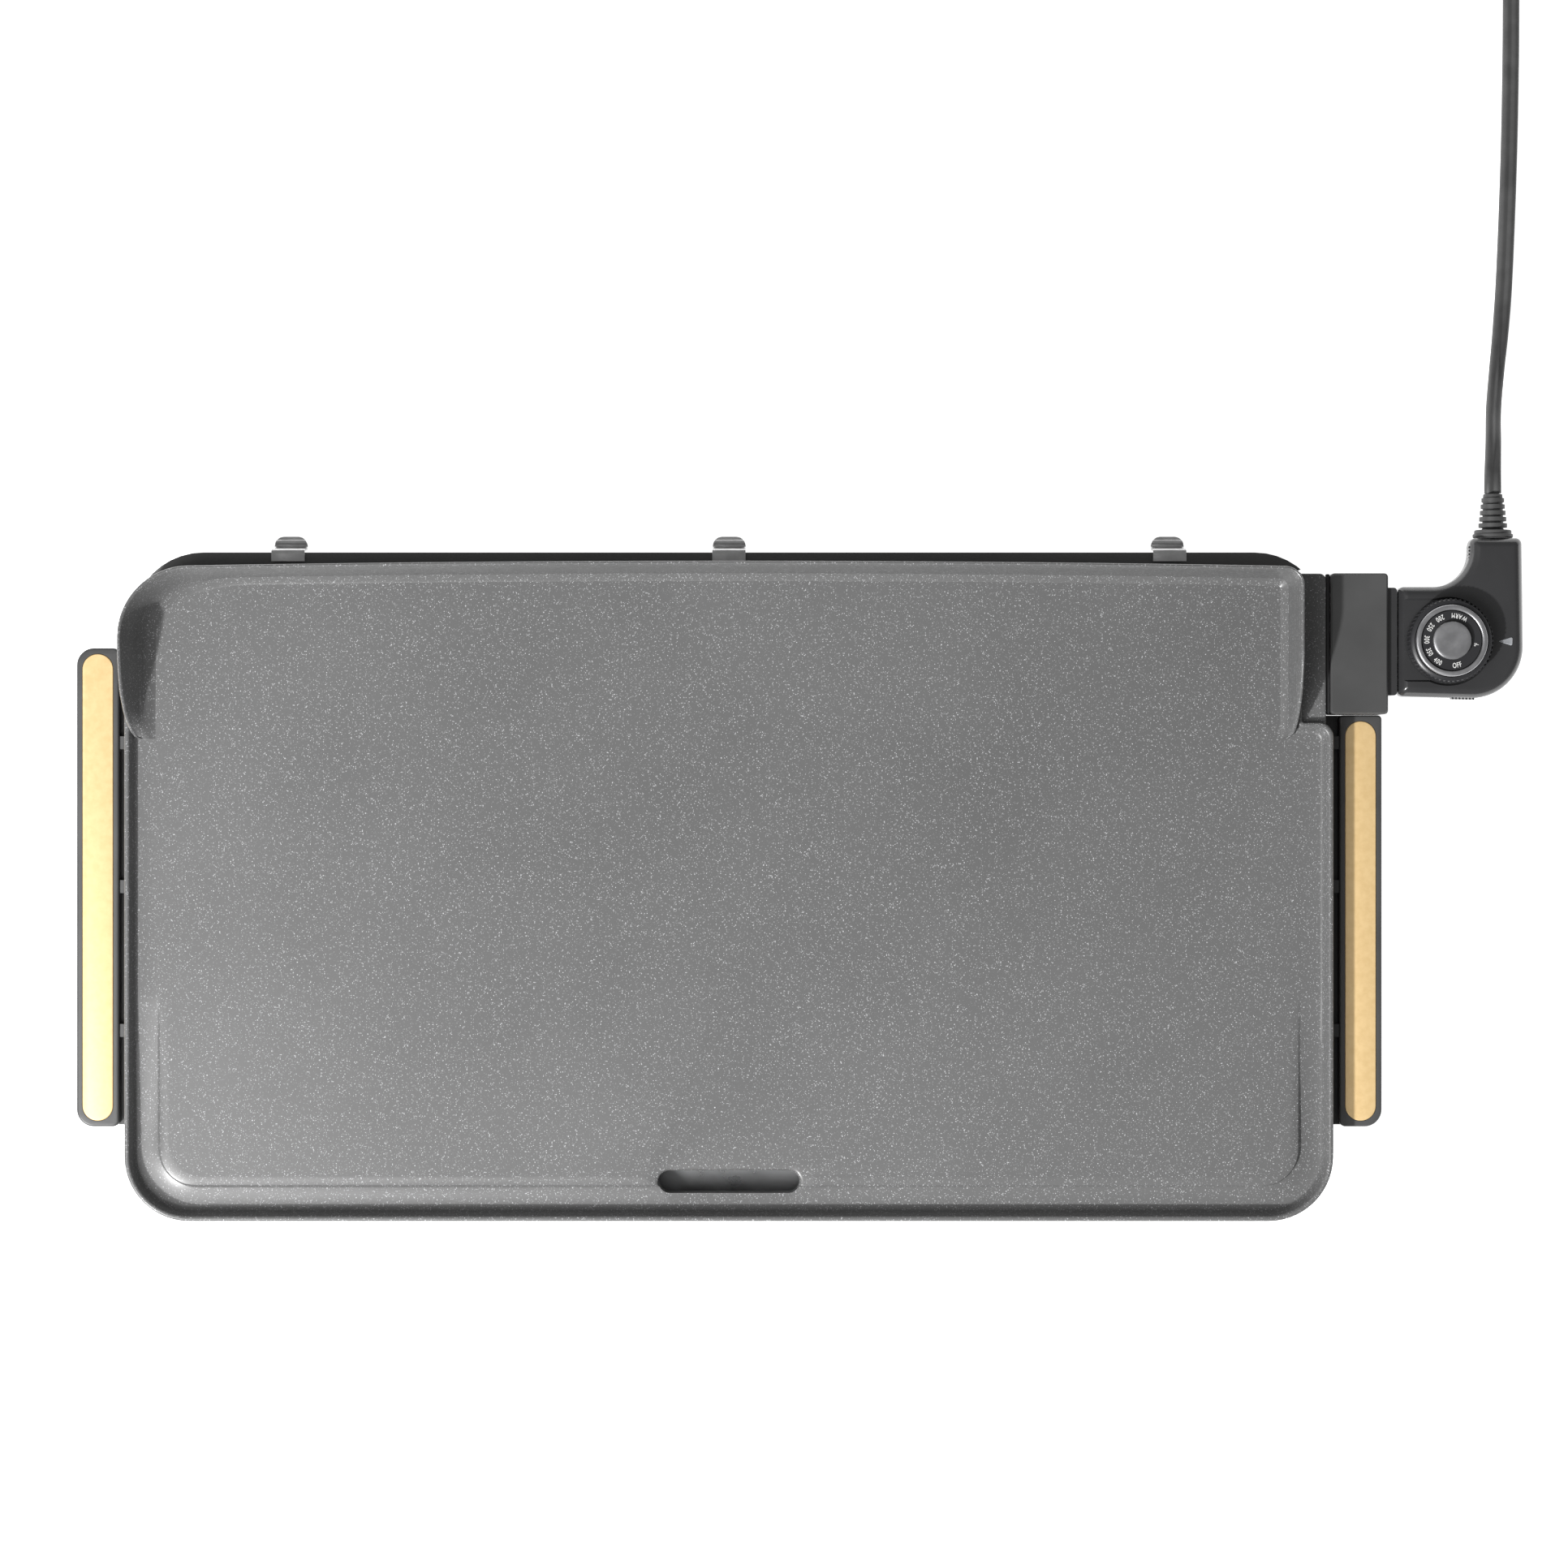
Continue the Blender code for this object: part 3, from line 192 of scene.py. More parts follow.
def rod(start, end, radius, sides=20, build=None):
    """A round bar between two places."""
    start, end = Vector(start), Vector(end)
    turn = (end - start).to_track_quat("Z", "Y")
    rings = [
        [centre + turn @ Vector((point.x, point.y, 0)) for point in circle(radius, sides)]
        for centre in (start, end)
    ]
    return loft(rings, build)


def fillet(inset_from, z_from, inset_to, z_to, steps=5):
    """The (inset, z) steps of a rounded edge, leaving upright and arriving level."""
    angles = [math.pi / 2 * step / steps for step in range(steps + 1)]
    return [
        (
            inset_from + (inset_to - inset_from) * (1 - math.cos(angle)),
            z_from + (z_to - z_from) * math.sin(angle),
        )
        for angle in angles
    ]


def transformed(build, matrix):
    bmesh.ops.transform(build, matrix=matrix, verts=build.verts)
    return build


def final_shape(holder):
    """An object's shape after its modifiers, as a bmesh."""
    evaluated = holder.evaluated_get(bpy.context.evaluated_depsgraph_get())
    shape = bmesh.new()
    shape.from_mesh(evaluated.to_mesh())
    evaluated.to_mesh_clear()
    return shape


def carved(build, tool, operation="DIFFERENCE"):
    """The first body less the second, or joined to it, by Blender's exact Boolean."""
    objects = []
    for part in (build, tool):
        bmesh.ops.recalc_face_normals(part, faces=part.faces)
        mesh = bpy.data.meshes.new("carving")
        part.to_mesh(mesh)
        part.free()
        objects.append(new_object("carving", mesh))
    step = objects[0].modifiers.new("carving", "BOOLEAN")
    step.operation = operation
    step.solver = "EXACT"
    step.object = objects[1]
    result = final_shape(objects[0])
    for done in objects:
        bpy.data.objects.remove(done)
    return result

# %% A finished piece
pieces_made = {}


def placed_piece(name, mesh, body, replaces):
    """Puts a mesh in the scene as a piece that rides on its body."""
    made = new_object(name, mesh)
    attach(made, body)
    if replaces:
        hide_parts(*replaces)
    pieces_made[name] = len(mesh.polygons)
    return made


def piece(name, build, body, finish, replaces=(), angle=32, bevel=0.0):
    """Turns a bmesh in millimetres into a piece; edges sharper than angle stay sharp."""
    bmesh.ops.remove_doubles(build, verts=build.verts, dist=0.0005)
    bmesh.ops.recalc_face_normals(build, faces=build.faces)
    open_edges = sum(not edge.is_manifold for edge in build.edges)
    if open_edges:
        print(name, "has", open_edges, "open edges")
    for vert in build.verts:
        vert.co = at(*vert.co)
    mesh = bpy.data.meshes.new(name)
    build.to_mesh(mesh)
    build.free()
    mesh.materials.append(finish)
    mesh.shade_smooth()
    mesh.set_sharp_from_angle(angle=math.radians(angle))
    made = placed_piece(name, mesh, body, replaces)
    if bevel:
        step = made.modifiers.new("rounded_edges", "BEVEL")
        step.width = bevel * MM
        step.segments = 3
        step.limit_method = "ANGLE"
        step.angle_limit = math.radians(angle)
    return made

# %% [markdown]
# ## Finishes
# The finishes are node materials. Effects that several of them share are node groups: fine
# grain, as moulded plastic has from its spark-eroded tool, and drifting tone, because no real
# surface is one even colour. The groups put out only colours, values, masks and normals, and the
# shader itself stays in each material.

# %% A small kit for wiring nodes
def colour(shade):
    """A linear colour from display values of 0 to 255: one for a grey, or three."""
    shades = shade if isinstance(shade, tuple) else (shade, shade, shade)
    return (*[(value / 255) ** 2.2 for value in shades], 1.0)


def set_sockets(node, values):
    for name, value in values.items():
        node.inputs[name].default_value = value


def add_node(tree, kind, values=None, **settings):
    made = tree.nodes.new(kind)
    for name, value in settings.items():
        setattr(made, name, value)
    set_sockets(made, values or {})
    return made


def wire(tree, *links):
    """Links nodes; each link is (from node, its output, to node, its input)."""
    for start, output, end, entry in links:
        tree.links.new(start.outputs[output], end.inputs[entry])


def node_tree(kind, name, inputs, outputs):
    """An empty tree, its input node and its output node.

    Inputs are (name, kind) or (name, kind, value), and outputs are (name, kind)."""
    tree = bpy.data.node_groups.new(name, kind)
    for socket, socket_kind, *value in inputs:
        made = tree.interface.new_socket(socket, in_out="INPUT", socket_type=socket_kind)
        if value:
            made.default_value = value[0]
    for socket, socket_kind in outputs:
        tree.interface.new_socket(socket, in_out="OUTPUT", socket_type=socket_kind)
    return tree, tree.nodes.new("NodeGroupInput"), tree.nodes.new("NodeGroupOutput")


def sized_texture(tree, given, kind, values=None):
    """A texture in the piece's own space, whose pattern is as wide as the given size."""
    place = add_node(tree, "ShaderNodeTexCoord")
    per_metre = add_node(tree, "ShaderNodeMath", {0: 1000.0}, operation="DIVIDE")
    texture = add_node(tree, kind, values)
    wire(
        tree,
        (given, "Size mm", per_metre, 1),
        (place, "Object", texture, "Vector"),
        (per_metre, 0, texture, "Scale"),
    )
    return texture


FLOAT, COLOUR, VECTOR = "NodeSocketFloat", "NodeSocketColor", "NodeSocketVector"

# %% [markdown]
# ### Grain and drifting tone
# Moulded plastic, cast metal and rubber all have a fine grain that breaks up their highlights. It
# could be sculpted, but at a tenth of a millimetre a bump from noise reads the same and weighs
# nothing. The tone group mixes two shades by a slow noise and puts out a roughness that drifts
# with it.

# %% Grain group
grain_group, given, out = node_tree(
    "ShaderNodeTree",
    "fine_grain",
    [("Size mm", FLOAT, 0.5), ("Depth mm", FLOAT, 0.02)],
    [("Normal", VECTOR)],
)
noise = sized_texture(grain_group, given, "ShaderNodeTexNoise", {"Detail": 3.0, "Roughness": 0.6})
metres = add_node(grain_group, "ShaderNodeMath", {1: MM}, operation="MULTIPLY")
bump = add_node(grain_group, "ShaderNodeBump", {"Strength": 1.0})
wire(
    grain_group,
    (given, "Depth mm", metres, 0),
    (metres, 0, bump, "Distance"),
    (noise, "Fac", bump, "Height"),
    (bump, "Normal", out, "Normal"),
)

# %% Tone group
tone_group, given, out = node_tree(
    "ShaderNodeTree",
    "drifting_tone",
    [
        ("Dark", COLOUR, (0, 0, 0, 1)),
        ("Light", COLOUR, (1, 1, 1, 1)),
        ("Size mm", FLOAT, 40.0),
        ("Smooth", FLOAT, 0.3),
        ("Rough", FLOAT, 0.4),
    ],
    [("Color", COLOUR), ("Roughness", FLOAT)],
)
noise = sized_texture(tone_group, given, "ShaderNodeTexNoise", {"Detail": 4.0, "Roughness": 0.55})
spread = add_node(tone_group, "ShaderNodeMapRange", {"From Min": 0.35, "From Max": 0.65})
mixed = add_node(tone_group, "ShaderNodeMix", data_type="RGBA")
rough = add_node(tone_group, "ShaderNodeMapRange")
wire(
    tone_group,
    (noise, "Fac", spread, "Value"),
    (spread, "Result", mixed, "Factor"),
    (given, "Dark", mixed, 6),
    (given, "Light", mixed, 7),
    (mixed, 2, out, "Color"),
    (spread, "Result", rough, "Value"),
    (given, "Smooth", rough, "To Min"),
    (given, "Rough", rough, "To Max"),
    (rough, "Result", out, "Roughness"),
)
print("groups:", [group.name for group in bpy.data.node_groups])

# %% A finish from the two groups
def finish(name, dark, light, roughness, grain, tone_size=40.0, **shader_values):
    """A material whose colour and roughness drift, with a fine grain of (size, depth) over it."""
    made = bpy.data.materials.new(name)
    made.use_nodes = True
    tree = made.node_tree
    shader = tree.nodes["Principled BSDF"]
    tone_values = {
        "Dark": colour(dark),
        "Light": colour(light),
        "Size mm": tone_size,
        "Smooth": roughness[0],
        "Rough": roughness[1],
    }
    tone = add_node(tree, "ShaderNodeGroup", tone_values, node_tree=tone_group)
    grain_values = {"Size mm": grain[0], "Depth mm": grain[1]}
    grains = add_node(tree, "ShaderNodeGroup", grain_values, node_tree=grain_group)
    set_sockets(shader, {name.replace("_", " "): value for name, value in shader_values.items()})
    wire(
        tree,
        (tone, "Color", shader, "Base Color"),
        (tone, "Roughness", shader, "Roughness"),
        (grains, "Normal", shader, "Normal"),
    )
    made.diffuse_color = colour(light)
    return made

# %% [markdown]
# ### Speckled nonstick coating
# The cooking plate is die-cast aluminium, sprayed with a dark grey nonstick coat that has pale
# mineral flecks in it. The flecks differ in size and brightness. Each is a cell of a Voronoi
# pattern: a cell shows a fleck only if its own random number is high, and the fleck is the
# small area near the cell's middle. Two such layers, one fine and dense, one coarser and
# sparse, look like the sprayed coat. The shared grain gives it a slight orange peel.

# %% Fleck group
fleck_group, given, out = node_tree(
    "ShaderNodeTree",
    "mineral_flecks",
    [("Size mm", FLOAT, 1.0), ("Share", FLOAT, 0.2), ("Reach", FLOAT, 0.3)],
    [("Mask", FLOAT)],
)
cells = sized_texture(fleck_group, given, "ShaderNodeTexVoronoi")
split = add_node(fleck_group, "ShaderNodeSeparateColor")
chosen = add_node(fleck_group, "ShaderNodeMath", operation="LESS_THAN")
size = add_node(fleck_group, "ShaderNodeMath", operation="MULTIPLY")
spot = add_node(fleck_group, "ShaderNodeMapRange", {"To Min": 1.0, "To Max": 0.0})
bright = add_node(fleck_group, "ShaderNodeMapRange", {"To Min": 0.25, "To Max": 1.0})
shown = add_node(fleck_group, "ShaderNodeMath", operation="MULTIPLY")
weighed = add_node(fleck_group, "ShaderNodeMath", operation="MULTIPLY")
wire(
    fleck_group,
    (cells, "Color", split, "Color"),
    (split, "Red", chosen, 0),
    (given, "Share", chosen, 1),
    (given, "Reach", size, 0),
    (split, "Green", size, 1),
    (cells, "Distance", spot, "Value"),
    (size, 0, spot, "From Max"),
    (split, "Blue", bright, "Value"),
    (spot, "Result", shown, 0),
    (chosen, 0, shown, 1),
    (shown, 0, weighed, 0),
    (bright, "Result", weighed, 1),
    (weighed, 0, out, "Mask"),
)

# %% Nonstick coat
coat = finish("nonstick_coat", 99, 103, (0.29, 0.35), (0.9, 0.012), 140)
tree = coat.node_tree
shader = tree.nodes["Principled BSDF"]
tone = next(step for step in tree.nodes if step.type == "GROUP" and step.node_tree == tone_group)
fine, coarse = (
    add_node(tree, "ShaderNodeGroup", values, node_tree=fleck_group)
    for values in (
        {"Size mm": 0.5, "Share": 0.4, "Reach": 0.75},
        {"Size mm": 1.5, "Share": 0.16, "Reach": 0.3},
    )
)
both = add_node(tree, "ShaderNodeMath", operation="MAXIMUM")
mixed = add_node(tree, "ShaderNodeMix", {7: colour((225, 226, 228))}, data_type="RGBA")
wire(
    tree,
    (fine, "Mask", both, 0),
    (coarse, "Mask", both, 1),
    (both, 0, mixed, "Factor"),
    (tone, "Color", mixed, 6),
    (mixed, 2, shader, "Base Color"),
)

# %% [markdown]
# ### Plastics, metals and rubber
# The base, handles and housing are glass-filled plastic with a satin, slightly textured face. The
# controller's shells are polished, so their grain is very shallow and a clear coat sharpens the
# highlights. The inlays are anodised aluminium: a metal with a warm tint and a fine blasted
# grain. Metals differ mostly by tint and roughness, so one recipe serves them all.

# %% The other finishes
METAL = {"Metallic": 1.0}
GREY_PLASTIC = finish("base_plastic", 91, 97, (0.38, 0.46), (0.5, 0.02))
HANDLE_PLASTIC = finish("handle_plastic", 72, 78, (0.36, 0.44), (0.5, 0.02))
GOLD_SHADES = (226, 193, 138), (232, 200, 146)
GOLD = finish("champagne_gold", *GOLD_SHADES, (0.38, 0.46), (0.35, 0.014), 3, Metallic=0.2)
CLIP_STEEL = finish("clip_steel", 196, 214, (0.3, 0.4), (1.2, 0.01), 6, Metallic=0.8)
GLOSS = {"Coat_Weight": 0.35, "Coat_Roughness": 0.12}
CONTROLLER_BLACK = finish("controller_black", (52, 52, 53), (57, 57, 58), (0.2, 0.28), (0.6, 0.003), **GLOSS)
DIAL_BLACK = finish("dial_black", (44, 44, 46), (50, 50, 52), (0.34, 0.42), (0.3, 0.008))
DIAL_WHITE = finish("dial_white", (222, 222, 220), (238, 238, 236), (0.4, 0.5), (0.3, 0.004))
TRIM_SHADES = (150, 150, 152), (166, 166, 168)
BRIGHT_TRIM = finish("bright_trim", *TRIM_SHADES, (0.28, 0.36), (0.3, 0.006), 6, Metallic=0.7)
CORD_RUBBER = finish("cord_rubber", 70, 80, (0.46, 0.58), (0.4, 0.015), 12)
PLUG_RUBBER = finish("plug_rubber", (52, 52, 53), (60, 60, 61), (0.44, 0.54), (0.4, 0.02), 12)
FOOT_RUBBER = finish("foot_rubber", (34, 34, 35), (44, 44, 45), (0.6, 0.75), (0.5, 0.03))
SHEET_STEEL = finish("sheet_steel", (176, 177, 178), (196, 197, 198), (0.25, 0.4), (2.0, 0.02), 30, **METAL)
FASTENER_SHADES = (170, 170, 172), (190, 190, 192)
FASTENER_STEEL = finish("fastener_steel", *FASTENER_SHADES, (0.22, 0.34), (0.5, 0.01), 5, **METAL)
SHEATH = finish("element_sheath", (92, 84, 78), (118, 106, 96), (0.4, 0.55), (0.4, 0.03), 18, Metallic=0.8)
CERAMIC = finish("ceramic_white", (214, 208, 196), (228, 223, 212), (0.5, 0.65), (0.6, 0.03), 12)
BRASS = finish("plated_brass", (196, 178, 130), (212, 196, 150), (0.22, 0.32), (0.4, 0.006), 5, **METAL)
LENS = finish("smoked_lens", (150, 152, 156), (168, 170, 174), (0.16, 0.24), (0.5, 0.002), 4, Coat_Weight=0.5)
LAMP = finish("pilot_lamp", (235, 150, 90), (245, 176, 120), (0.2, 0.3), (0.4, 0.004), 3)
print("finishes:", len(bpy.data.materials))

# %% [markdown]
# ## The cord
# The controller's lead is a flat cord: two insulated cores side by side, 8 mm wide and 4.5 mm
# thick, with a groove down its middle. It leaves the strain relief level, drops to the table,
# runs back, and its spare length is wound in a ring with the plug beside it. A curve with a round
# bevel would lose the groove, so the section is swept along the route by hand: at each point of
# the route a ring of the section is placed square to the way the cord runs.

# %% Cord sizes and route
CORD_WIDTH, CORD_THICKNESS = 8.0, 4.5
NECK_X, CONTROL_Z = 355.45, 51.6
EXIT_Y = 184.85
CORD_EXIT = Vector((NECK_X, EXIT_Y, CONTROL_Z))
LYING_Z = CORD_THICKNESS / 2 + 0.2
COIL_CENTRE, COIL_RADIUS, COIL_TURNS, TURN_RISE = (331.0, 490.0), 42.25, 2.25, 4.7
PLUG_Y, PLUG_Z = 532.25, 8.5
SLEEVE_START = Vector((295.55, PLUG_Y, PLUG_Z))


def smooth_route(points, spacing):
    """Points about a spacing apart on a smooth curve through the given ones."""
    points = [Vector(point) for point in points]
    route = []
    for index in range(len(points) - 1):
        last = points[max(index - 1, 0)]
        here, following = points[index], points[index + 1]
        after = points[min(index + 2, len(points) - 1)]
        steps = max(1, round((following - here).length / spacing))
        for step in range(steps):
            share = step / steps
            first = (following - last) * share
            second = (2 * last - 5 * here + 4 * following - after) * share**2
            third = (3 * here - last - 3 * following + after) * share**3
            route.append((2 * here + first + second + third) / 2)
    return route + [points[-1]]


fall = [
    CORD_EXIT,
    (NECK_X, 192.85, CONTROL_Z),
    (357.45, 208.85, 41.6),
    (360.45, 226.85, 25.0),
    (364.45, 246.85, 10.6),
    (367.45, 266.85, 4.0),
    (369.45, 292.85, LYING_Z),
    (371.45, 344.85, LYING_Z),
    (372.45, 394.85, LYING_Z),
    (372.75, 445.0, LYING_Z),
]
turn_steps = round(36 * COIL_TURNS)
coil = []
for step in range(turn_steps + 1):
    turns = COIL_TURNS * step / turn_steps
    angle = 2 * math.pi * turns
    x = COIL_CENTRE[0] + COIL_RADIUS * math.cos(angle)
    y = COIL_CENTRE[1] + COIL_RADIUS * math.sin(angle)
    coil.append((x, y, LYING_Z + TURN_RISE * turns))
top = coil[-1][2]
run_in = [(321.5, 533.6, top), (311.0, 533.9, top - 1.6), (303.0, 532.8, 9.2), SLEEVE_START]
cord_path = smooth_route(fall + coil + run_in, 5.0)

# %% Sweep a flat section along the route
ROLL, ROLL_LENGTH = math.radians(26), 150.0


def direction(path, index):
    """The way a path runs at one of its points."""
    return (path[min(index + 1, len(path) - 1)] - path[max(index - 1, 0)]).normalized()


def sweep(path, section, rolls):
    """Rings of a section, width across and thickness up, square to the path."""
    rings = []
    for index, point in enumerate(path):
        along = direction(path, index)
        across = along.cross(Vector((0, 0, 1))).normalized()
        up = across.cross(along)
        turn = Matrix.Rotation(rolls[index], 3, along)
        rings.append([point + turn @ (across * side + up * rise) for side, rise in section])
    return loft(rings)


def twin_section(width, thickness, steps=9):
    """Two round cores side by side, joined by a web with a groove on each face."""
    radius = thickness / 2
    middle = width / 2 - radius
    groove = math.radians(52)
    angles = [-math.pi + groove + (2 * math.pi - 2 * groove) * step / steps for step in range(steps + 1)]
    right = [(middle + radius * math.cos(angle), radius * math.sin(angle)) for angle in angles]
    left = [(-x, -y) for x, y in right]
    return right + left


rolls = []
for point in cord_path:
    share = clamped((point.y - EXIT_Y) / ROLL_LENGTH) if point.z > LYING_Z + 0.5 else 0.0
    rolls.append(ROLL * math.sin(math.pi * min(share * 1.6, 1.0)))
cord_build = sweep(cord_path, twin_section(CORD_WIDTH, CORD_THICKNESS), rolls)
cord_nodes = ["power_cord", "cord_coil"]
cord = piece("flat_cord", cord_build, "controller", CORD_RUBBER, cord_nodes, 50)

# %% [markdown]
# ## The plug
# A moulded two-blade plug: a tapering sleeve takes the cord's pull, the body has a waist to grip,
# and two flat brass blades stand out of its face. The blades have the small hole that sockets
# catch. The body is a loft along the cord's direction, drawn upright and then laid over.

# %% Plug body and blades
LAID_LEFT = Matrix(((0, 0, -1, 0), (1, 0, 0, 0), (0, -1, 0, 0), (0, 0, 0, 1)))
HALF_SPACING, BLADE_TIP, BLADE_ROOT, BLADE_HALF_WIDTH, BLADE_HALF_THICKNESS = 6.35, 238.15, 254.15, 3.17, 0.75
HOLE_X, HOLE_RADIUS = 241.4, 1.5
PLUG_SECTIONS = [  # width, height, distance from the sleeve's end, corner radius
    (9.4, 6.6, 0.0, 2.6),
    (10.4, 8.4, 1.0, 3.6),
    (11.4, 10.0, 8.0, 4.4),
    (14.0, 11.6, 10.0, 4.6),
    (19.4, 13.6, 13.0, 5.0),
    (21.0, 14.2, 18.0, 5.0),
    (20.4, 13.8, 24.0, 4.6),
    (21.6, 14.6, 30.0, 4.4),
    (23.6, 15.8, 34.0, 4.0),
    (23.8, 16.0, 39.6, 3.6),
    (23.0, 15.2, 41.0, 3.2),
]
plug_rings = [
    lift(box_outline(-width / 2, width / 2, -height / 2, height / 2, radius, 6), z)
    for width, height, z, radius in PLUG_SECTIONS
]
laid_plug = transformed(loft(plug_rings), Matrix.Translation(SLEEVE_START) @ LAID_LEFT)
plug = piece("plug_shell", laid_plug, "controller", PLUG_RUBBER, ["plug_body"])
for side, node in ((-1, "plug_blade_left"), (1, "plug_blade_right")):
    y = PLUG_Y + side * HALF_SPACING
    low, high = PLUG_Z - BLADE_HALF_WIDTH, PLUG_Z + BLADE_HALF_WIDTH
    body = block(BLADE_TIP, BLADE_ROOT, y - BLADE_HALF_THICKNESS, y + BLADE_HALF_THICKNESS, low, high)
    drill = turned([(0, -3), (HOLE_RADIUS, -3), (HOLE_RADIUS, 3), (0, 3)], 24)
    across = Matrix.Translation((HOLE_X, y, PLUG_Z)) @ Matrix.Rotation(math.pi / 2, 4, "X")
    body = carved(body, transformed(drill, across))
    piece(f"{node}_brass", body, "controller", BRASS, [node], bevel=0.35)

# %% [markdown]
# ## The cooking plate
# A die-cast plate has one wall thickness everywhere and generous radii. Seen from above it is a
# set of nested outlines: the rim, the slope inside it, the grease gutter, the step up to the
# cooking surface. So it is lofted from its outer edge inwards, ring by ring, each ring being the
# same outline moved in and set at its own height. The gutter's depth depends on how far forward
# a point is, so the step fades out up the sides as it does on the real casting.

# %% Plate outline and heights
HALF_WIDTH, PLATE_REAR, SPLASH_BOW = 279.5, 148.8, 2.8
SHELF_START, WING_X, CONTROL_Y = 78.0, 265.0, 115.5
UNDER_Z, APRON_Z, COOK_Z, SPLASH_Z = 55.5, 52.5, 60.0, 88.0
GUTTER_DEPTH, GUTTER_END, GUTTER_FADE = 2.0, -50.0, 60.0


def bowed(point):
    """The rear of the plate bows out behind its middle."""
    share = clamped((point.y - CONTROL_Y) / (PLATE_REAR - CONTROL_Y))
    return Vector((point.x, point.y + SPLASH_BOW * share * (1 - (point.x / HALF_WIDTH) ** 2)))


def plate_outline(side, front=None, corner=None):
    """The plate's edge moved in by side, and by front at the front."""
    front = side if front is None else front
    near = max(30 - side, 14) if corner is None else corner
    corners = [
        (-HALF_WIDTH + side, PLATE_FRONT + front, near),
        (HALF_WIDTH - side, PLATE_FRONT + front, near),
        (HALF_WIDTH - side, SHELF_START - side, max(6.5 - side / 2, 1.5)),
        (WING_X - side, SHELF_START - side, min(1 + side, 7.0)),
        (WING_X - side, PLATE_REAR - side, max(9 - side, 2)),
        (-HALF_WIDTH + side, PLATE_REAR - side, max(32 - side, 14)),
    ]
    return [bowed(point) for point in rounded(corners, 14, (60, 90, 6, 26, 110, 80))]


def gutter_z(point):
    """The gutter is full depth along the front and fades out up the sides."""
    return COOK_Z - GUTTER_DEPTH * clamped((GUTTER_END - point.y) / GUTTER_FADE) ** 0.8


def sunk_ring(side, front, level, share, corner=None):
    """A ring that is a share of the way down from a level to the gutter."""
    outline = plate_outline(side, front, corner)
    return [Vector((point.x, point.y, level + (gutter_z(point) - level) * share)) for point in outline]

# %% Loft the plate from its underside, over the rim and inwards
# Steps are (side, z) for the skirt, (side, front, share) for the slope, and the same with the
# radius of the front corners for the gutter.
skirt_steps = [(9, UNDER_Z), (5.4, UNDER_Z), (4.6, UNDER_Z - 0.4), (4.2, UNDER_Z - 1.0), (4, APRON_Z + 0.3)]
skirt_steps += [(3.6, APRON_Z), (1.2, APRON_Z), (0.5, APRON_Z + 0.4), (0.2, APRON_Z + 1.5)]
skirt_steps += [(0, RIM_Z - 1.4), (0.1, RIM_Z - 0.7), (0.4, RIM_Z - 0.2), (0.9, RIM_Z), (1.7, RIM_Z)]
slope_steps = [(2.2, 2.3, 0.04), (2.6, 2.8, 0.16), (3.6, 4.0, 0.66), (4.1, 4.6, 0.88), (4.7, 5.3, 0.98)]
gutter_steps = [(5.6, 6.3, 1.0, None), (14.4, 14.9, 1.0, 18.5), (14.8, 15.3, 0.9, 18)]
gutter_steps += [(15.5, 16.0, 0.12, 17), (15.9, 16.4, 0.0, 17), (20, 20.5, 0.0, 16)]
plate_rings = [lift(plate_outline(side), z) for side, z in skirt_steps]
plate_rings += [sunk_ring(side, front, RIM_Z, share) for side, front, share in slope_steps]
plate_rings += [sunk_ring(side, front, COOK_Z, share, corner) for side, front, share, corner in gutter_steps]
plate = loft(plate_rings)
print("rings:", len(plate_rings), "of", len(plate_rings[0]), "points")

# %% [markdown]
# ### The splash wall
# A wall stands up along the back and comes forward at both sides as two wings that sink into the
# cooking surface. Its section is a thin round-topped wall with a cove at its foot. It could be
# part of the rings above, but its wings leave the rim and end in points of their own, so it is a
# second loft: the section is carried along the wall's own line, and its height and the width of
# its cove change on the way. An exact Boolean then makes one casting of the two.

# %% The wall's section and line
WING_START, WING_LENGTH, TIP_END = 71.3, 43.1, 92.0
WALL_THICKNESS, FOOT_RIGHT, FOOT_LEFT = 1.7, 7.9, 13.6
RIGHT_FOOT_X, LEFT_FOOT_X = 255.6, -265.9
FOOT_SUNK = -2.2


def wall_top(y):
    share = clamped((y - WING_START) / WING_LENGTH)
    return RIM_Z + (SPLASH_Z - RIM_Z) * math.sin(share * math.pi / 2)


def wall_section(rise, foot, cove):
    """Distance inwards and height above the plate, over the top and down the cove."""
    shoulder = rise - 0.9
    section = [(0.25, FOOT_SUNK), (0.0, shoulder), (0.25, rise - 0.25), (0.8, rise), (1.35, rise - 0.25)]
    section.append((WALL_THICKNESS, shoulder))
    lean = foot - cove * 0.62
    knee = min(cove * 0.42, rise * 0.5)
    for share in (0.35, 0.7):
        side = WALL_THICKNESS + (lean - WALL_THICKNESS) * share
        section.append((side, shoulder + (knee - rise + 0.9) * share))
    for angle in (0, 18, 36, 54, 72, 90):
        sine = math.sin(math.radians(angle))
        section.append((lean + (foot - lean) * sine, knee * (1 - sine) ** 1.2 + 0.06))
    return section + [(foot, FOOT_SUNK)]


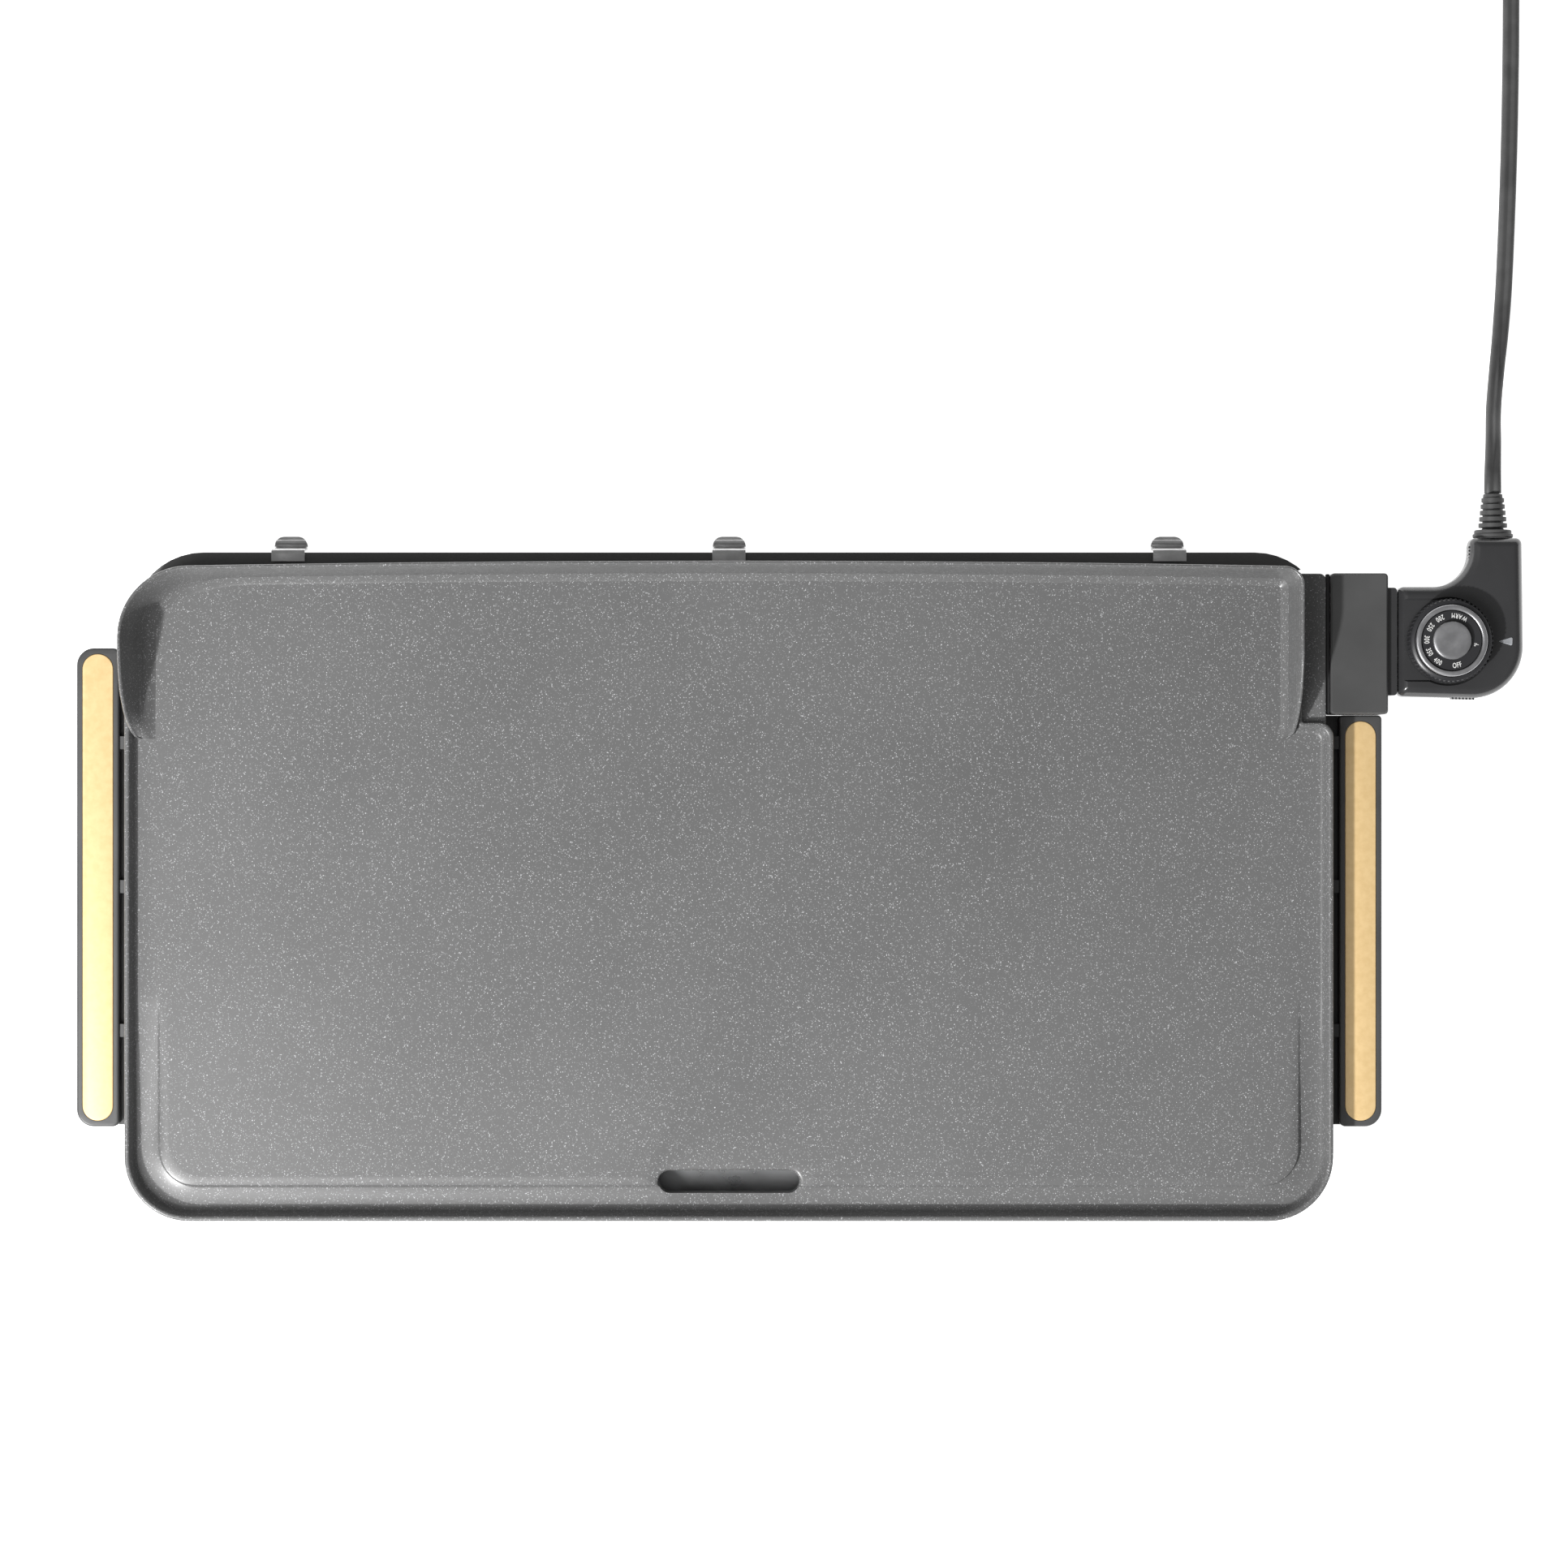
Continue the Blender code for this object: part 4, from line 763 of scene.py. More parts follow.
rear_corners = rounded(
    [
        (WING_X - 1.5, 60.0, 1.0),
        (WING_X - 1.5, PLATE_REAR - 0.1, 9.0),
        (-HALF_WIDTH + 0.15, PLATE_REAR - 0.1, 32.0),
        (-HALF_WIDTH + 0.15, 60.0, 1.0),
    ],
    16,
    (30, 200, 30, 1),
)
wall_line = [bowed(point) for point in rear_corners[17:-17] if point.y > TIP_END]
right_tip = [(258.9, 70.6), (260.6, 71.6), (261.8, 74.0), (262.5, 78.0), (263.1, 84.0), (263.4, 90.0)]
left_tip = [(-279.2, 90.0), (-278.6, 83.0), (-277.7, 78.0), (-276.6, 74.0), (-275.2, 71.4), (-273.2, 70.4)]
wall_line = [Vector(point) for point in right_tip] + wall_line + [Vector(point) for point in left_tip]
wall_rings = []
for index, point in enumerate(wall_line):
    along = direction(wall_line, index)
    inward = Vector((-along.y, along.x))
    left_share = clamped((-point.x - 225.0) / 40.0)
    foot = FOOT_RIGHT + (FOOT_LEFT - FOOT_RIGHT) * left_share * left_share * (3 - 2 * left_share)
    if point.y < TIP_END:
        inward = Vector((-math.copysign(1.0, point.x), 0.0))
        foot = LEFT_FOOT_X - point.x if point.x < 0 else point.x - RIGHT_FOOT_X
    end_share = min(max((point.y - 70.0) / 5.0, 0.12), 1.0)
    rise = (wall_top(point.y) - COOK_Z) * (0.35 + 0.65 * end_share)
    section = wall_section(rise, foot, min(5.5 + 3.0 * left_share, foot - 2.4))
    wall_rings.append([Vector((*(point + inward * side), COOK_Z + up)) for side, up in section])
plate = carved(plate, loft(wall_rings), "UNION")
print("wall:", len(wall_rings), "stations")

# %% [markdown]
# ### Drain slot, shelf and underside
# Grease leaves through a slot at the front with a softly rolled edge, and a collar under it guides
# the drops into the tray. A small shelf outside the right wing carries the socket housing. Below,
# a long boss takes the controller's temperature probe. All of these are joined to or cut from the
# casting with Booleans, as a pattern maker would add or carve them.

# %% Slot, shelf and probe well
SLOT_HALF_LENGTH, SLOT_RADIUS, SLOT_Y = 32.7, 5.25, -135.0
BOSS_RADIUS, BORE_RADIUS = 6.6, 3.3


def slot_outline(extra):
    half, radius = SLOT_HALF_LENGTH + extra, SLOT_RADIUS + extra
    return box_outline(-half, half, SLOT_Y - radius, SLOT_Y + radius, radius - 0.05, 12)


def probe_bar(start, end, radius, sides):
    return rod((WING_X + start, CONTROL_Y, CONTROL_Z), (WING_X + end, CONTROL_Y, CONTROL_Z), radius, sides)


collar = loft([lift(slot_outline(2.5), z) for z in (APRON_Z - 5, UNDER_Z + 1)])
slot_steps = [(0, 40.0), (0, 58.4), (-0.25, 59.2), (-0.7, 59.7), (-1.4, 59.93), (-2.2, 60.02), (-2.2, 66.0)]
slot = loft([lift(slot_outline(-inset), z) for inset, z in slot_steps])
shelf_outline = box_outline(WING_X - 4, 276.5, SHELF_START - 4, 147.0, 3.0)
shelf = levels(shelf_outline, [(0.3, 58.5), (0, 58.9), (0, 61.3), (0.2, 61.8), (0.8, 62.0)])
for tool, operation in (
    (collar, "UNION"),
    (slot, "DIFFERENCE"),
    (shelf, "UNION"),
    (probe_bar(-60, -9, BOSS_RADIUS, 28), "UNION"),
    (probe_bar(-56, 40, BORE_RADIUS, 20), "DIFFERENCE"),
):
    plate = carved(plate, tool, operation)
piece("plate_casting", plate, "plate", coat, ["griddle_plate"], 40)
print("plate faces:", pieces_made["plate_casting"])

# %% [markdown]
# ## Side handles
# Each handle is a moulded bar with a round-edged top, a pocket, and an anodised inlay that stands
# a fraction proud of it. A thin web and three short arms join it to the base. The handle is
# lofted, the pocket is cut, and the inlay is its own loft with a fine rounded edge, so that it
# catches a thin line of light all round.

# %% Handles and inlays
handle_low, handle_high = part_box("left_handle")
HANDLE_TOP, HANDLE_BOTTOM = handle_high.z / MM, handle_low.z / MM
HANDLE_INNER, HANDLE_OUTER, BASE_SIDE = 284.0, 303.8, 276.6
HANDLE_FRONT, INLAY_MARGIN, INLAY_DEPTH = -110.0, 2.6, 2.3
ARM_SPACING, ARM_LENGTH, ARM_TOP = 67.0, 6.0, 50.5
handle_rear = {"left": (112.8, 8.0), "right": (81.5, 2.0)}


def inlay_outline(rear, gap):
    left, right = HANDLE_INNER + INLAY_MARGIN, HANDLE_OUTER - INLAY_MARGIN
    front, rear = HANDLE_FRONT + INLAY_MARGIN, rear - INLAY_MARGIN
    return shrunk(box_outline(left, right, front, rear, (right - left) / 2 - 0.05, 14), gap)


for side, name in ((-1, "left"), (1, "right")):
    rear, rear_radius = handle_rear[name]
    corners = [
        (HANDLE_INNER, HANDLE_FRONT, 3.0),
        (HANDLE_OUTER, HANDLE_FRONT, 8.0),
        (HANDLE_OUTER, rear, rear_radius),
        (HANDLE_INNER, rear, min(rear_radius, 3.0)),
    ]
    bar_steps = [(inset, HANDLE_BOTTOM + rise) for inset, rise in ((1.9, 0), (0.9, 0.7), (0.2, 2), (0, 3))]
    bar = levels(rounded(corners, 12), bar_steps + fillet(0, HANDLE_TOP - 1.1, 1.1, HANDLE_TOP))
    pocket = loft([lift(inlay_outline(rear, 0), z) for z in (HANDLE_TOP - INLAY_DEPTH, HANDLE_TOP + 5)])
    bar = carved(bar, pocket)
    arms = bmesh.new()
    inside = HANDLE_INNER + 2
    for index in (-1, 0, 1):
        arm_rear = min(4.7 + index * ARM_SPACING, rear - 4)
        block(BASE_SIDE, inside, arm_rear - ARM_LENGTH, arm_rear, HANDLE_BOTTOM + 0.5, ARM_TOP, arms)
    bar = carved(bar, arms, "UNION")
    web = block(BASE_SIDE, inside, HANDLE_FRONT + 0.6, rear - 0.06, HANDLE_BOTTOM + 1, HANDLE_TOP - 6)
    bar = carved(bar, web, "UNION")
    inlay_edge = fillet(0, HANDLE_TOP - 0.25, 0.5, HANDLE_TOP + 0.2, 4)
    inlay = levels(inlay_outline(rear, 0.15), [(0, HANDLE_TOP - INLAY_DEPTH + 0.1)] + inlay_edge)
    for build in (bar, inlay):
        bmesh.ops.scale(build, verts=build.verts, vec=(side, 1, 1))
    piece(f"{name}_handle_bar", bar, "base", HANDLE_PLASTIC, [f"{name}_handle"])
    piece(f"{name}_inlay", inlay, "base", GOLD, [f"{name}_handle_insert"])
print("handles from", round(HANDLE_BOTTOM, 1), "to", round(HANDLE_TOP, 1), "mm")

# %% [markdown]
# ## Rear clips
# Three clips of bent spring steel hook over the base's rear rail and end in a finger tab with a
# pressed ridge across it. The strip's side view is drawn as a line and given its thickness and
# width. Near the end of the tab the width shrinks along a quarter circle, so its corners are
# round. That gives one loft of cross-sections.

# %% Clips
CLIP_SPACING, CLIP_THICKNESS, CLIP_HALF_WIDTH = 204.0, 0.8, 7.7
TAB_LENGTH, TAB_END_HALF_WIDTH = 4.6, 3.6
clip_side_view = [(152.6, 63.2), (156.4, 63.2), (157.7, 62.6), (158.1, 61.2), (158.3, 57.0), (158.7, 53.0)]
clip_side_view += [(159.6, 50.8), (161.0, 50.4), (162.0, 51.5), (163.2, 50.9), (164.5, 50.3)]
clip_centre_line = smooth_route([(0, y, z) for y, z in clip_side_view], 0.45)
for x, name in ((-CLIP_SPACING, "left"), (0.0, "middle"), (CLIP_SPACING, "right")):
    rings = []
    for index, point in enumerate(clip_centre_line):
        up = Vector((1, 0, 0)).cross(direction(clip_centre_line, index))
        half = CLIP_HALF_WIDTH
        to_end = clip_centre_line[-1].y - point.y
        if to_end < TAB_LENGTH:
            growth = math.sqrt(max(1 - (1 - to_end / TAB_LENGTH) ** 2, 0.0))
            half = TAB_END_HALF_WIDTH + (CLIP_HALF_WIDTH - TAB_END_HALF_WIDTH) * growth
        edge = CLIP_THICKNESS / 2
        under = [(-half, -edge + 0.15), (-half + 0.2, -edge), (half - 0.2, -edge), (half, -edge + 0.15)]
        section = under + [(-side, -rise) for side, rise in under]
        rings.append([point + Vector((x + side, 0, 0)) + up * rise for side, rise in section])
    strip, node = loft(rings), f"rear_clip_{name}"
    piece(f"{name}_clip_strip", strip, f"clip_{name}", CLIP_STEEL, [node], 40)
print("clip strip:", len(clip_centre_line), "sections")

# %% [markdown]
# ## Painted shade in the slit between shelf and housing
# A dark strip fills the slit between the plate's shelf and the socket housing. It is painted shade:
# a bar with softly rounded edges, sunk a little below both, that stands in for the slit's shade.

# %% Painted shade strip
# Painted shade: this dark rubber bar stands in for the shade deep in the slit.
slit_shade_steps = [(0.2, 57.6), (0, 57.9), (0, 60.0), (0.3, 60.4)]
slit_shade_bar = levels(box_outline(BASE_SIDE, 278.4, 82.0, 146.8, 0.6, 4), slit_shade_steps)
piece("slit_shade_strip", slit_shade_bar, "plate", FOOT_RUBBER)

# %% [markdown]
# ## The plug-in controller
# The controller is two glossy moulded shells, split along a seam half-way up. Its outline is an L:
# a body with the dial, and a neck that points back and carries the cord. The top shell has a wide
# soft bevel all round, a flat sunk panel under the dial and a shallow round well that the knob
# sits in. Each shell is one loft of the L outline, and the panel is cut with a Boolean.

# %% Shells
KNOB_CENTRE = (332.8, 115.5)
CASE_BOTTOM, SEAM_Z, CASE_TOP = 38.0, 51.0, 64.0
CASE_LEFT, CASE_FRONT_LEFT, CASE_FRONT_RIGHT, CASE_REAR = 309.9, 90.05, 88.45, 140.95
CASE_WIDTH, NECK_LEFT, NECK_REAR = 58.7, 343.4, 163.65
PANEL_Z, ABOVE_CASE = CASE_TOP - 0.9, 70


def case_ring(inset, z):
    """The L outline moved in; its inner corner grows and its outer ones shrink."""
    small = max(3.0 - inset * 0.6, 0.5)
    corners = [
        (CASE_LEFT + inset, CASE_FRONT_LEFT + inset, small),
        (CASE_LEFT + CASE_WIDTH - inset, CASE_FRONT_RIGHT + inset, 24.0 - inset),
        (367.5 - inset, NECK_REAR - inset, small),
        (NECK_LEFT + inset, NECK_REAR - inset, small),
        (NECK_LEFT + inset, CASE_REAR - inset, 17.0 + inset),
        (CASE_LEFT + inset, CASE_REAR - inset, small),
    ]
    return lift(rounded(corners, 18), z)


def shell(name, steps, level, cutters, node, angle=32):
    """One half of the case: a loft of (inset, height above level) steps, less its cutters."""
    build = loft([case_ring(inset, level + z) for inset, z in steps])
    for cutter in cutters:
        build = carved(build, cutter)
    piece(name, build, "controller", CONTROLLER_BLACK, [node], angle)


lower_steps = [(5.0, 0.0), (3.4, 0.5), (2.2, 1.4), (1.5, 3), (0.8, 11.8), (0.8, 12.5), (1.4, 12.8)]
upper_steps = [(1.0, -12.8), (0.3, -12.5), (0.1, -12.0), (0.1, -4.8), (0.3, -3.9), (0.9, -2.7), (1.9, -1.4)]
upper_steps += [(2.9, -0.55), (3.5, -0.28), (3.9, -0.1), (4.3, -0.02), (5.2, 0.0)]
panel_outline = box_outline(300.0, 333.5, 96.9, 135.2, 1.4, 6)
panel = levels(panel_outline, [(0.7, PANEL_Z), (-0.1, CASE_TOP), (-0.1, ABOVE_CASE)])
well_profile = [(0, PANEL_Z), (19.6, PANEL_Z), (20.6, CASE_TOP), (20.7, ABOVE_CASE), (0, ABOVE_CASE)]
well = turned(well_profile, 96, *KNOB_CENTRE)
shaft_hole = turned([(0, 40), (6.0, 40), (6.0, ABOVE_CASE), (0, ABOVE_CASE)], 32, *KNOB_CENTRE)
shell("lower_shell", lower_steps, CASE_BOTTOM, [], "controller_lower_casing")
shell("upper_shell", upper_steps, CASE_TOP, [panel, well, shaft_hole], "controller_upper_casing", 28)
print("shells meet at", SEAM_Z, "mm")

# %% [markdown]
# ### The dial
# The dial is a knurled knob with a bright ring let into its top, a black printed face inside the
# ring and a bright cap. All of it turns, so all of it rides on the dial body. The plain parts are
# turned profiles. The grip ridges repeat round the knob, which is a job for Geometry Nodes: one
# small bar is placed on each point of a circle.

# %% Turned parts of the dial
FACE_TOP = 74.0
knob_profile = [(6.3, 64.4), (19.0, 64.4), (19.3, 64.8), (18.9, 71.6), (18.6, 72.6), (17.8, 73.25)]
knob_profile += [(16.9, 73.4), (16.8, 73.3), (16.8, 71.4), (6.3, 71.4)]
ring_profile = [(14.1, 71.8), (16.5, 71.8), (16.5, 74.3), (16.2, 74.75), (15.6, 75.0), (14.6, 75.0)]
ring_profile += [(14.25, 74.8), (14.1, 74.4)]
face_profile = [(0, 71.8), (13.8, 71.8), (13.8, 73.8), (13.6, FACE_TOP), (0, FACE_TOP)]
cap_profile = [(0, 74.4), (8.5, 74.4), (8.8, 74.7), (8.8, 75.7), (8.55, 76.15), (8.1, 76.35), (7.0, 76.4)]
cap_profile.append((0, 76.4))
for name, profile, sides, slot, finished, node in (
    ("knob_body", knob_profile, 120, "controller_plastic", DIAL_BLACK, "dial_knob"),
    ("bright_ring", ring_profile, 120, "bright_trim", BRIGHT_TRIM, "dial_ring"),
    ("printed_face", face_profile, 96, "dial_print", DIAL_BLACK, "dial_face"),
    ("bright_cap", cap_profile, 96, "bright_trim", BRIGHT_TRIM, "dial_cap"),
):
    piece(name, turned(profile, sides, *KNOB_CENTRE), "dial", finished, [node])

# %% Geometry Nodes: a kit, and a ring of upright bars
GEOMETRY = [("Geometry", "NodeSocketGeometry")]
MATERIAL, INTEGER = "NodeSocketMaterial", "NodeSocketInt"


def ending(tree, last, given, out):
    """Realize Instances, smooth shading and Set Material, which end every tree here."""
    real = add_node(tree, "GeometryNodeRealizeInstances")
    smooth = add_node(tree, "GeometryNodeSetShadeSmooth")
    painted = add_node(tree, "GeometryNodeSetMaterial")
    wire(
        tree,
        (last, 0, real, 0),
        (real, 0, smooth, "Geometry"),
        (smooth, 0, painted, "Geometry"),
        (given, "Material", painted, "Material"),
        (painted, 0, out, "Geometry"),
    )


def grown_piece(name, tree, values, body, replaces=(), angle=40):
    """Runs a tree on an empty mesh and keeps the result as one plain mesh piece."""
    carrier = new_object("carrier", bpy.data.meshes.new("carrier"))
    step = carrier.modifiers.new("grow", "NODES")
    step.node_group = tree
    sockets = {item.name: item.identifier for item in tree.interface.items_tree if item.in_out == "INPUT"}
    for socket, value in values.items():
        step[sockets[socket]] = value
    evaluated = carrier.evaluated_get(bpy.context.evaluated_depsgraph_get())
    mesh = bpy.data.meshes.new_from_object(evaluated)
    mesh.name = name
    mesh.set_sharp_from_angle(angle=math.radians(angle))
    bpy.data.objects.remove(carrier)
    return placed_piece(name, mesh, body, replaces)


ridge_tree, given, out = node_tree(
    "GeometryNodeTree",
    "ring_of_ridges",
    [
        ("Centre", VECTOR),
        ("Ring Radius", FLOAT),
        ("Ridges", INTEGER),
        ("Ridge Radius", FLOAT),
        ("Ridge Height", FLOAT),
        ("Material", MATERIAL),
    ],
    GEOMETRY,
)
circle_node = add_node(ridge_tree, "GeometryNodeMeshCircle")
bar_node = add_node(ridge_tree, "GeometryNodeMeshCylinder", {"Vertices": 10})
placed = add_node(ridge_tree, "GeometryNodeInstanceOnPoints")
moved = add_node(ridge_tree, "GeometryNodeTransform")
wire(
    ridge_tree,
    (given, "Ridges", circle_node, "Vertices"),
    (given, "Ring Radius", circle_node, "Radius"),
    (given, "Ridge Radius", bar_node, "Radius"),
    (given, "Ridge Height", bar_node, "Depth"),
    (circle_node, "Mesh", placed, "Points"),
    (bar_node, "Mesh", placed, "Instance"),
    (placed, 0, moved, "Geometry"),
    (given, "Centre", moved, "Translation"),
)
ending(ridge_tree, moved, given, out)
ridge_values = {
    "Centre": at(*KNOB_CENTRE, 68.4),
    "Ring Radius": 18.95 * MM,
    "Ridges": 56,
    "Ridge Radius": 0.55 * MM,
    "Ridge Height": 7.2 * MM,
    "Material": DIAL_BLACK,
}
grown_piece("knob_ridges", ridge_tree, ridge_values, "dial")
print("knob ridges:", pieces_made["knob_ridges"], "faces")

# %% [markdown]
# ### Dial figures
# The figures stand round the face with their tops towards the middle. They are printed on the
# real dial. Here each letter is a text object made into a mesh a few hundredths of a millimetre
# thick, turned to its place on the circle, and then all are joined, because printing has no
# joints of its own.

# %% Figures
TEXT_RADIUS = 11.45
CAPITAL_HEIGHT = 0.73  # of the built-in font, for a letter of size 1
NARROWED = 0.68
LETTER_GAP = 0.13  # of a letter's height
LETTER_THICKNESS = 4.0  # scales the thin extrusion up to hundredths of a millimetre


def letter_mesh(letter, height):
    """One letter in millimetres, its middle at zero, and its width."""
    data = bpy.data.curves.new("letter", "FONT")
    data.body = letter
    data.offset = 0.012
    data.extrude = 0.01
    holder = new_object("letter", data)
    shape = final_shape(holder)
    bpy.data.objects.remove(holder)
    places = [vert.co.x for vert in shape.verts]
    low, high = min(places), max(places)
    size = height / CAPITAL_HEIGHT
    bmesh.ops.translate(shape, verts=shape.verts, vec=(-(low + high) / 2, -CAPITAL_HEIGHT / 2, 0))
    bmesh.ops.scale(shape, verts=shape.verts, vec=(size * NARROWED, size, LETTER_THICKNESS))
    return shape, (high - low) * size * NARROWED


figures = bmesh.new()
labels = [("°F", -10, 2.0), ("WARM", 72, 2.3), ("OFF", -78, 2.4)]  # text, degrees round the dial, height
labels += [("200", 118, 2.4), ("250", 148, 2.4), ("300", 178, 2.4), ("350", 207, 2.4), ("400", 236, 2.4)]
for text, middle, height in labels:
    letters = [letter_mesh(letter, height) for letter in text]
    gap = height * LETTER_GAP
    total = sum(width for _, width in letters) + gap * (len(letters) - 1)
    start = -total / 2
    for shape, width in letters:
        angle = math.radians(middle) + (start + width / 2) / TEXT_RADIUS
        start += width + gap
        spot = Vector((math.cos(angle), math.sin(angle), 0)) * TEXT_RADIUS
        spot += Vector((*KNOB_CENTRE, FACE_TOP + 0.03))
        transformed(shape, Matrix.Translation(spot) @ Matrix.Rotation(angle + math.pi / 2, 4, "Z"))
        mesh = bpy.data.meshes.new("letter")
        shape.to_mesh(mesh)
        shape.free()
        figures.from_mesh(mesh)
piece("dial_figures", figures, "dial", DIAL_WHITE)
print("figures:", pieces_made["dial_figures"], "faces")

# %% [markdown]
# ### Indicator, grip ribs and strain relief
# A small wedge-shaped lens points at the dial, with the pilot lamp behind it. Fine ribs on the
# sides give the fingers a grip to pull the controller out. The strain relief is a tapering sleeve
# cut into rings, so that the cord bends in a wide curve: the rings repeat along the cord, so
# Geometry Nodes set them out on a line, each a little smaller than the one before.

# %% Lens
lens_corners = [(355.7, 115.5, 0.25), (362.4, 113.4, 0.7), (362.6, 117.6, 0.7)]
lens = levels(rounded(lens_corners, 8), [(0, 63.2), (0, 64.15), (0.12, 64.35), (0.35, 64.45)])
piece("pointer_lens", lens, "controller", LENS, ["indicator_lens"])

# %% Geometry Nodes: a tapering row of rings
row_tree, given, out = node_tree(
    "GeometryNodeTree",
    "tapering_rings",
    [
        ("Start", VECTOR),
        ("Rings", INTEGER),
        ("Pitch", FLOAT),
        ("First Radius", FLOAT),
        ("Last Radius", FLOAT),
        ("Thickness", FLOAT),
        ("Material", MATERIAL),
    ],
    GEOMETRY,
)
line_node = add_node(row_tree, "GeometryNodeMeshLine")
pitch_vector = add_node(row_tree, "ShaderNodeCombineXYZ")
disc = add_node(row_tree, "GeometryNodeMeshCylinder", {"Vertices": 40, "Radius": 1.0})
index_node = add_node(row_tree, "GeometryNodeInputIndex")
last_ring = add_node(row_tree, "ShaderNodeMath", {1: 1.0}, operation="SUBTRACT")
radius_at = add_node(row_tree, "ShaderNodeMapRange")
scale_vector = add_node(row_tree, "ShaderNodeCombineXYZ", {2: 1.0})
rings_placed = add_node(row_tree, "GeometryNodeInstanceOnPoints", {"Rotation": (math.pi / 2, 0.0, 0.0)})
wire(
    row_tree,
    (given, "Rings", line_node, "Count"),
    (given, "Start", line_node, "Start Location"),
    (given, "Pitch", pitch_vector, 1),
    (pitch_vector, 0, line_node, "Offset"),
    (given, "Thickness", disc, "Depth"),
    (given, "Rings", last_ring, 0),
    (index_node, 0, radius_at, "Value"),
    (last_ring, 0, radius_at, "From Max"),
    (given, "First Radius", radius_at, "To Min"),
    (given, "Last Radius", radius_at, "To Max"),
    (radius_at, 0, scale_vector, 0),
    (radius_at, 0, scale_vector, 1),
    (line_node, "Mesh", rings_placed, "Points"),
    (disc, "Mesh", rings_placed, "Instance"),
    (scale_vector, 0, rings_placed, "Scale"),
)
ending(row_tree, rings_placed, given, out)
row_values = {
    "Start": at(NECK_X, 169.8, CONTROL_Z),
    "Rings": 5,
    "Pitch": 2.93 * MM,
    "First Radius": 6.6 * MM,
    "Last Radius": 5.25 * MM,
    "Thickness": 1.85 * MM,
    "Material": CORD_RUBBER,
}
grown_piece("relief_rings", row_tree, row_values, "controller")

# %% Relief core and flange
core_profile = [(0, 0), (9.0, 0), (9.3, 0.3), (9.3, 1.5), (8.9, 1.7), (8.6, 1.8), (8.6, 3.1), (8.2, 3.5)]
core_profile += [(5.4, 3.6), (4.9, 4.2), (4.5, 19.0), (4.4, 20.1), (4.2, 20.3), (0, 20.3)]
LAID_BACK = Matrix.Translation((NECK_X, 164.1, CONTROL_Z)) @ Matrix.Rotation(-math.pi / 2, 4, "X")
core = transformed(turned(core_profile, 48), LAID_BACK)
piece("relief_core", core, "controller", CORD_RUBBER, ["strain_relief"])

# %% Grip ribs at the front edge and inside the neck
RIB_PITCH, RIB_LOW, RIB_HIGH, RIB_RADIUS = 1.6, 53.5, 59.0, 0.5
front_slant = (CASE_FRONT_RIGHT - CASE_FRONT_LEFT) / CASE_WIDTH
front_xs = [335.6 + index * RIB_PITCH for index in range(7)]
rib_places = [(x, CASE_FRONT_LEFT - 0.15 + front_slant * (x - CASE_LEFT)) for x in front_xs]
rib_places += [(NECK_LEFT - 0.05, 146.5 + index * RIB_PITCH) for index in range(9)]
ribs = bmesh.new()
for place in rib_places:
    rod((*place, RIB_LOW), (*place, RIB_HIGH), RIB_RADIUS, 10, ribs)
piece("grip_ribs", ribs, "controller", CONTROLLER_BLACK, (), 50)
print("grip ribs:", pieces_made["grip_ribs"], "faces")

# %% [markdown]
# ## Finishes on the model's own parts
# The base, legs, housing, tray, element and other inner parts already have their right shape in
# the engineering model, so they stay, and only their finish changes.

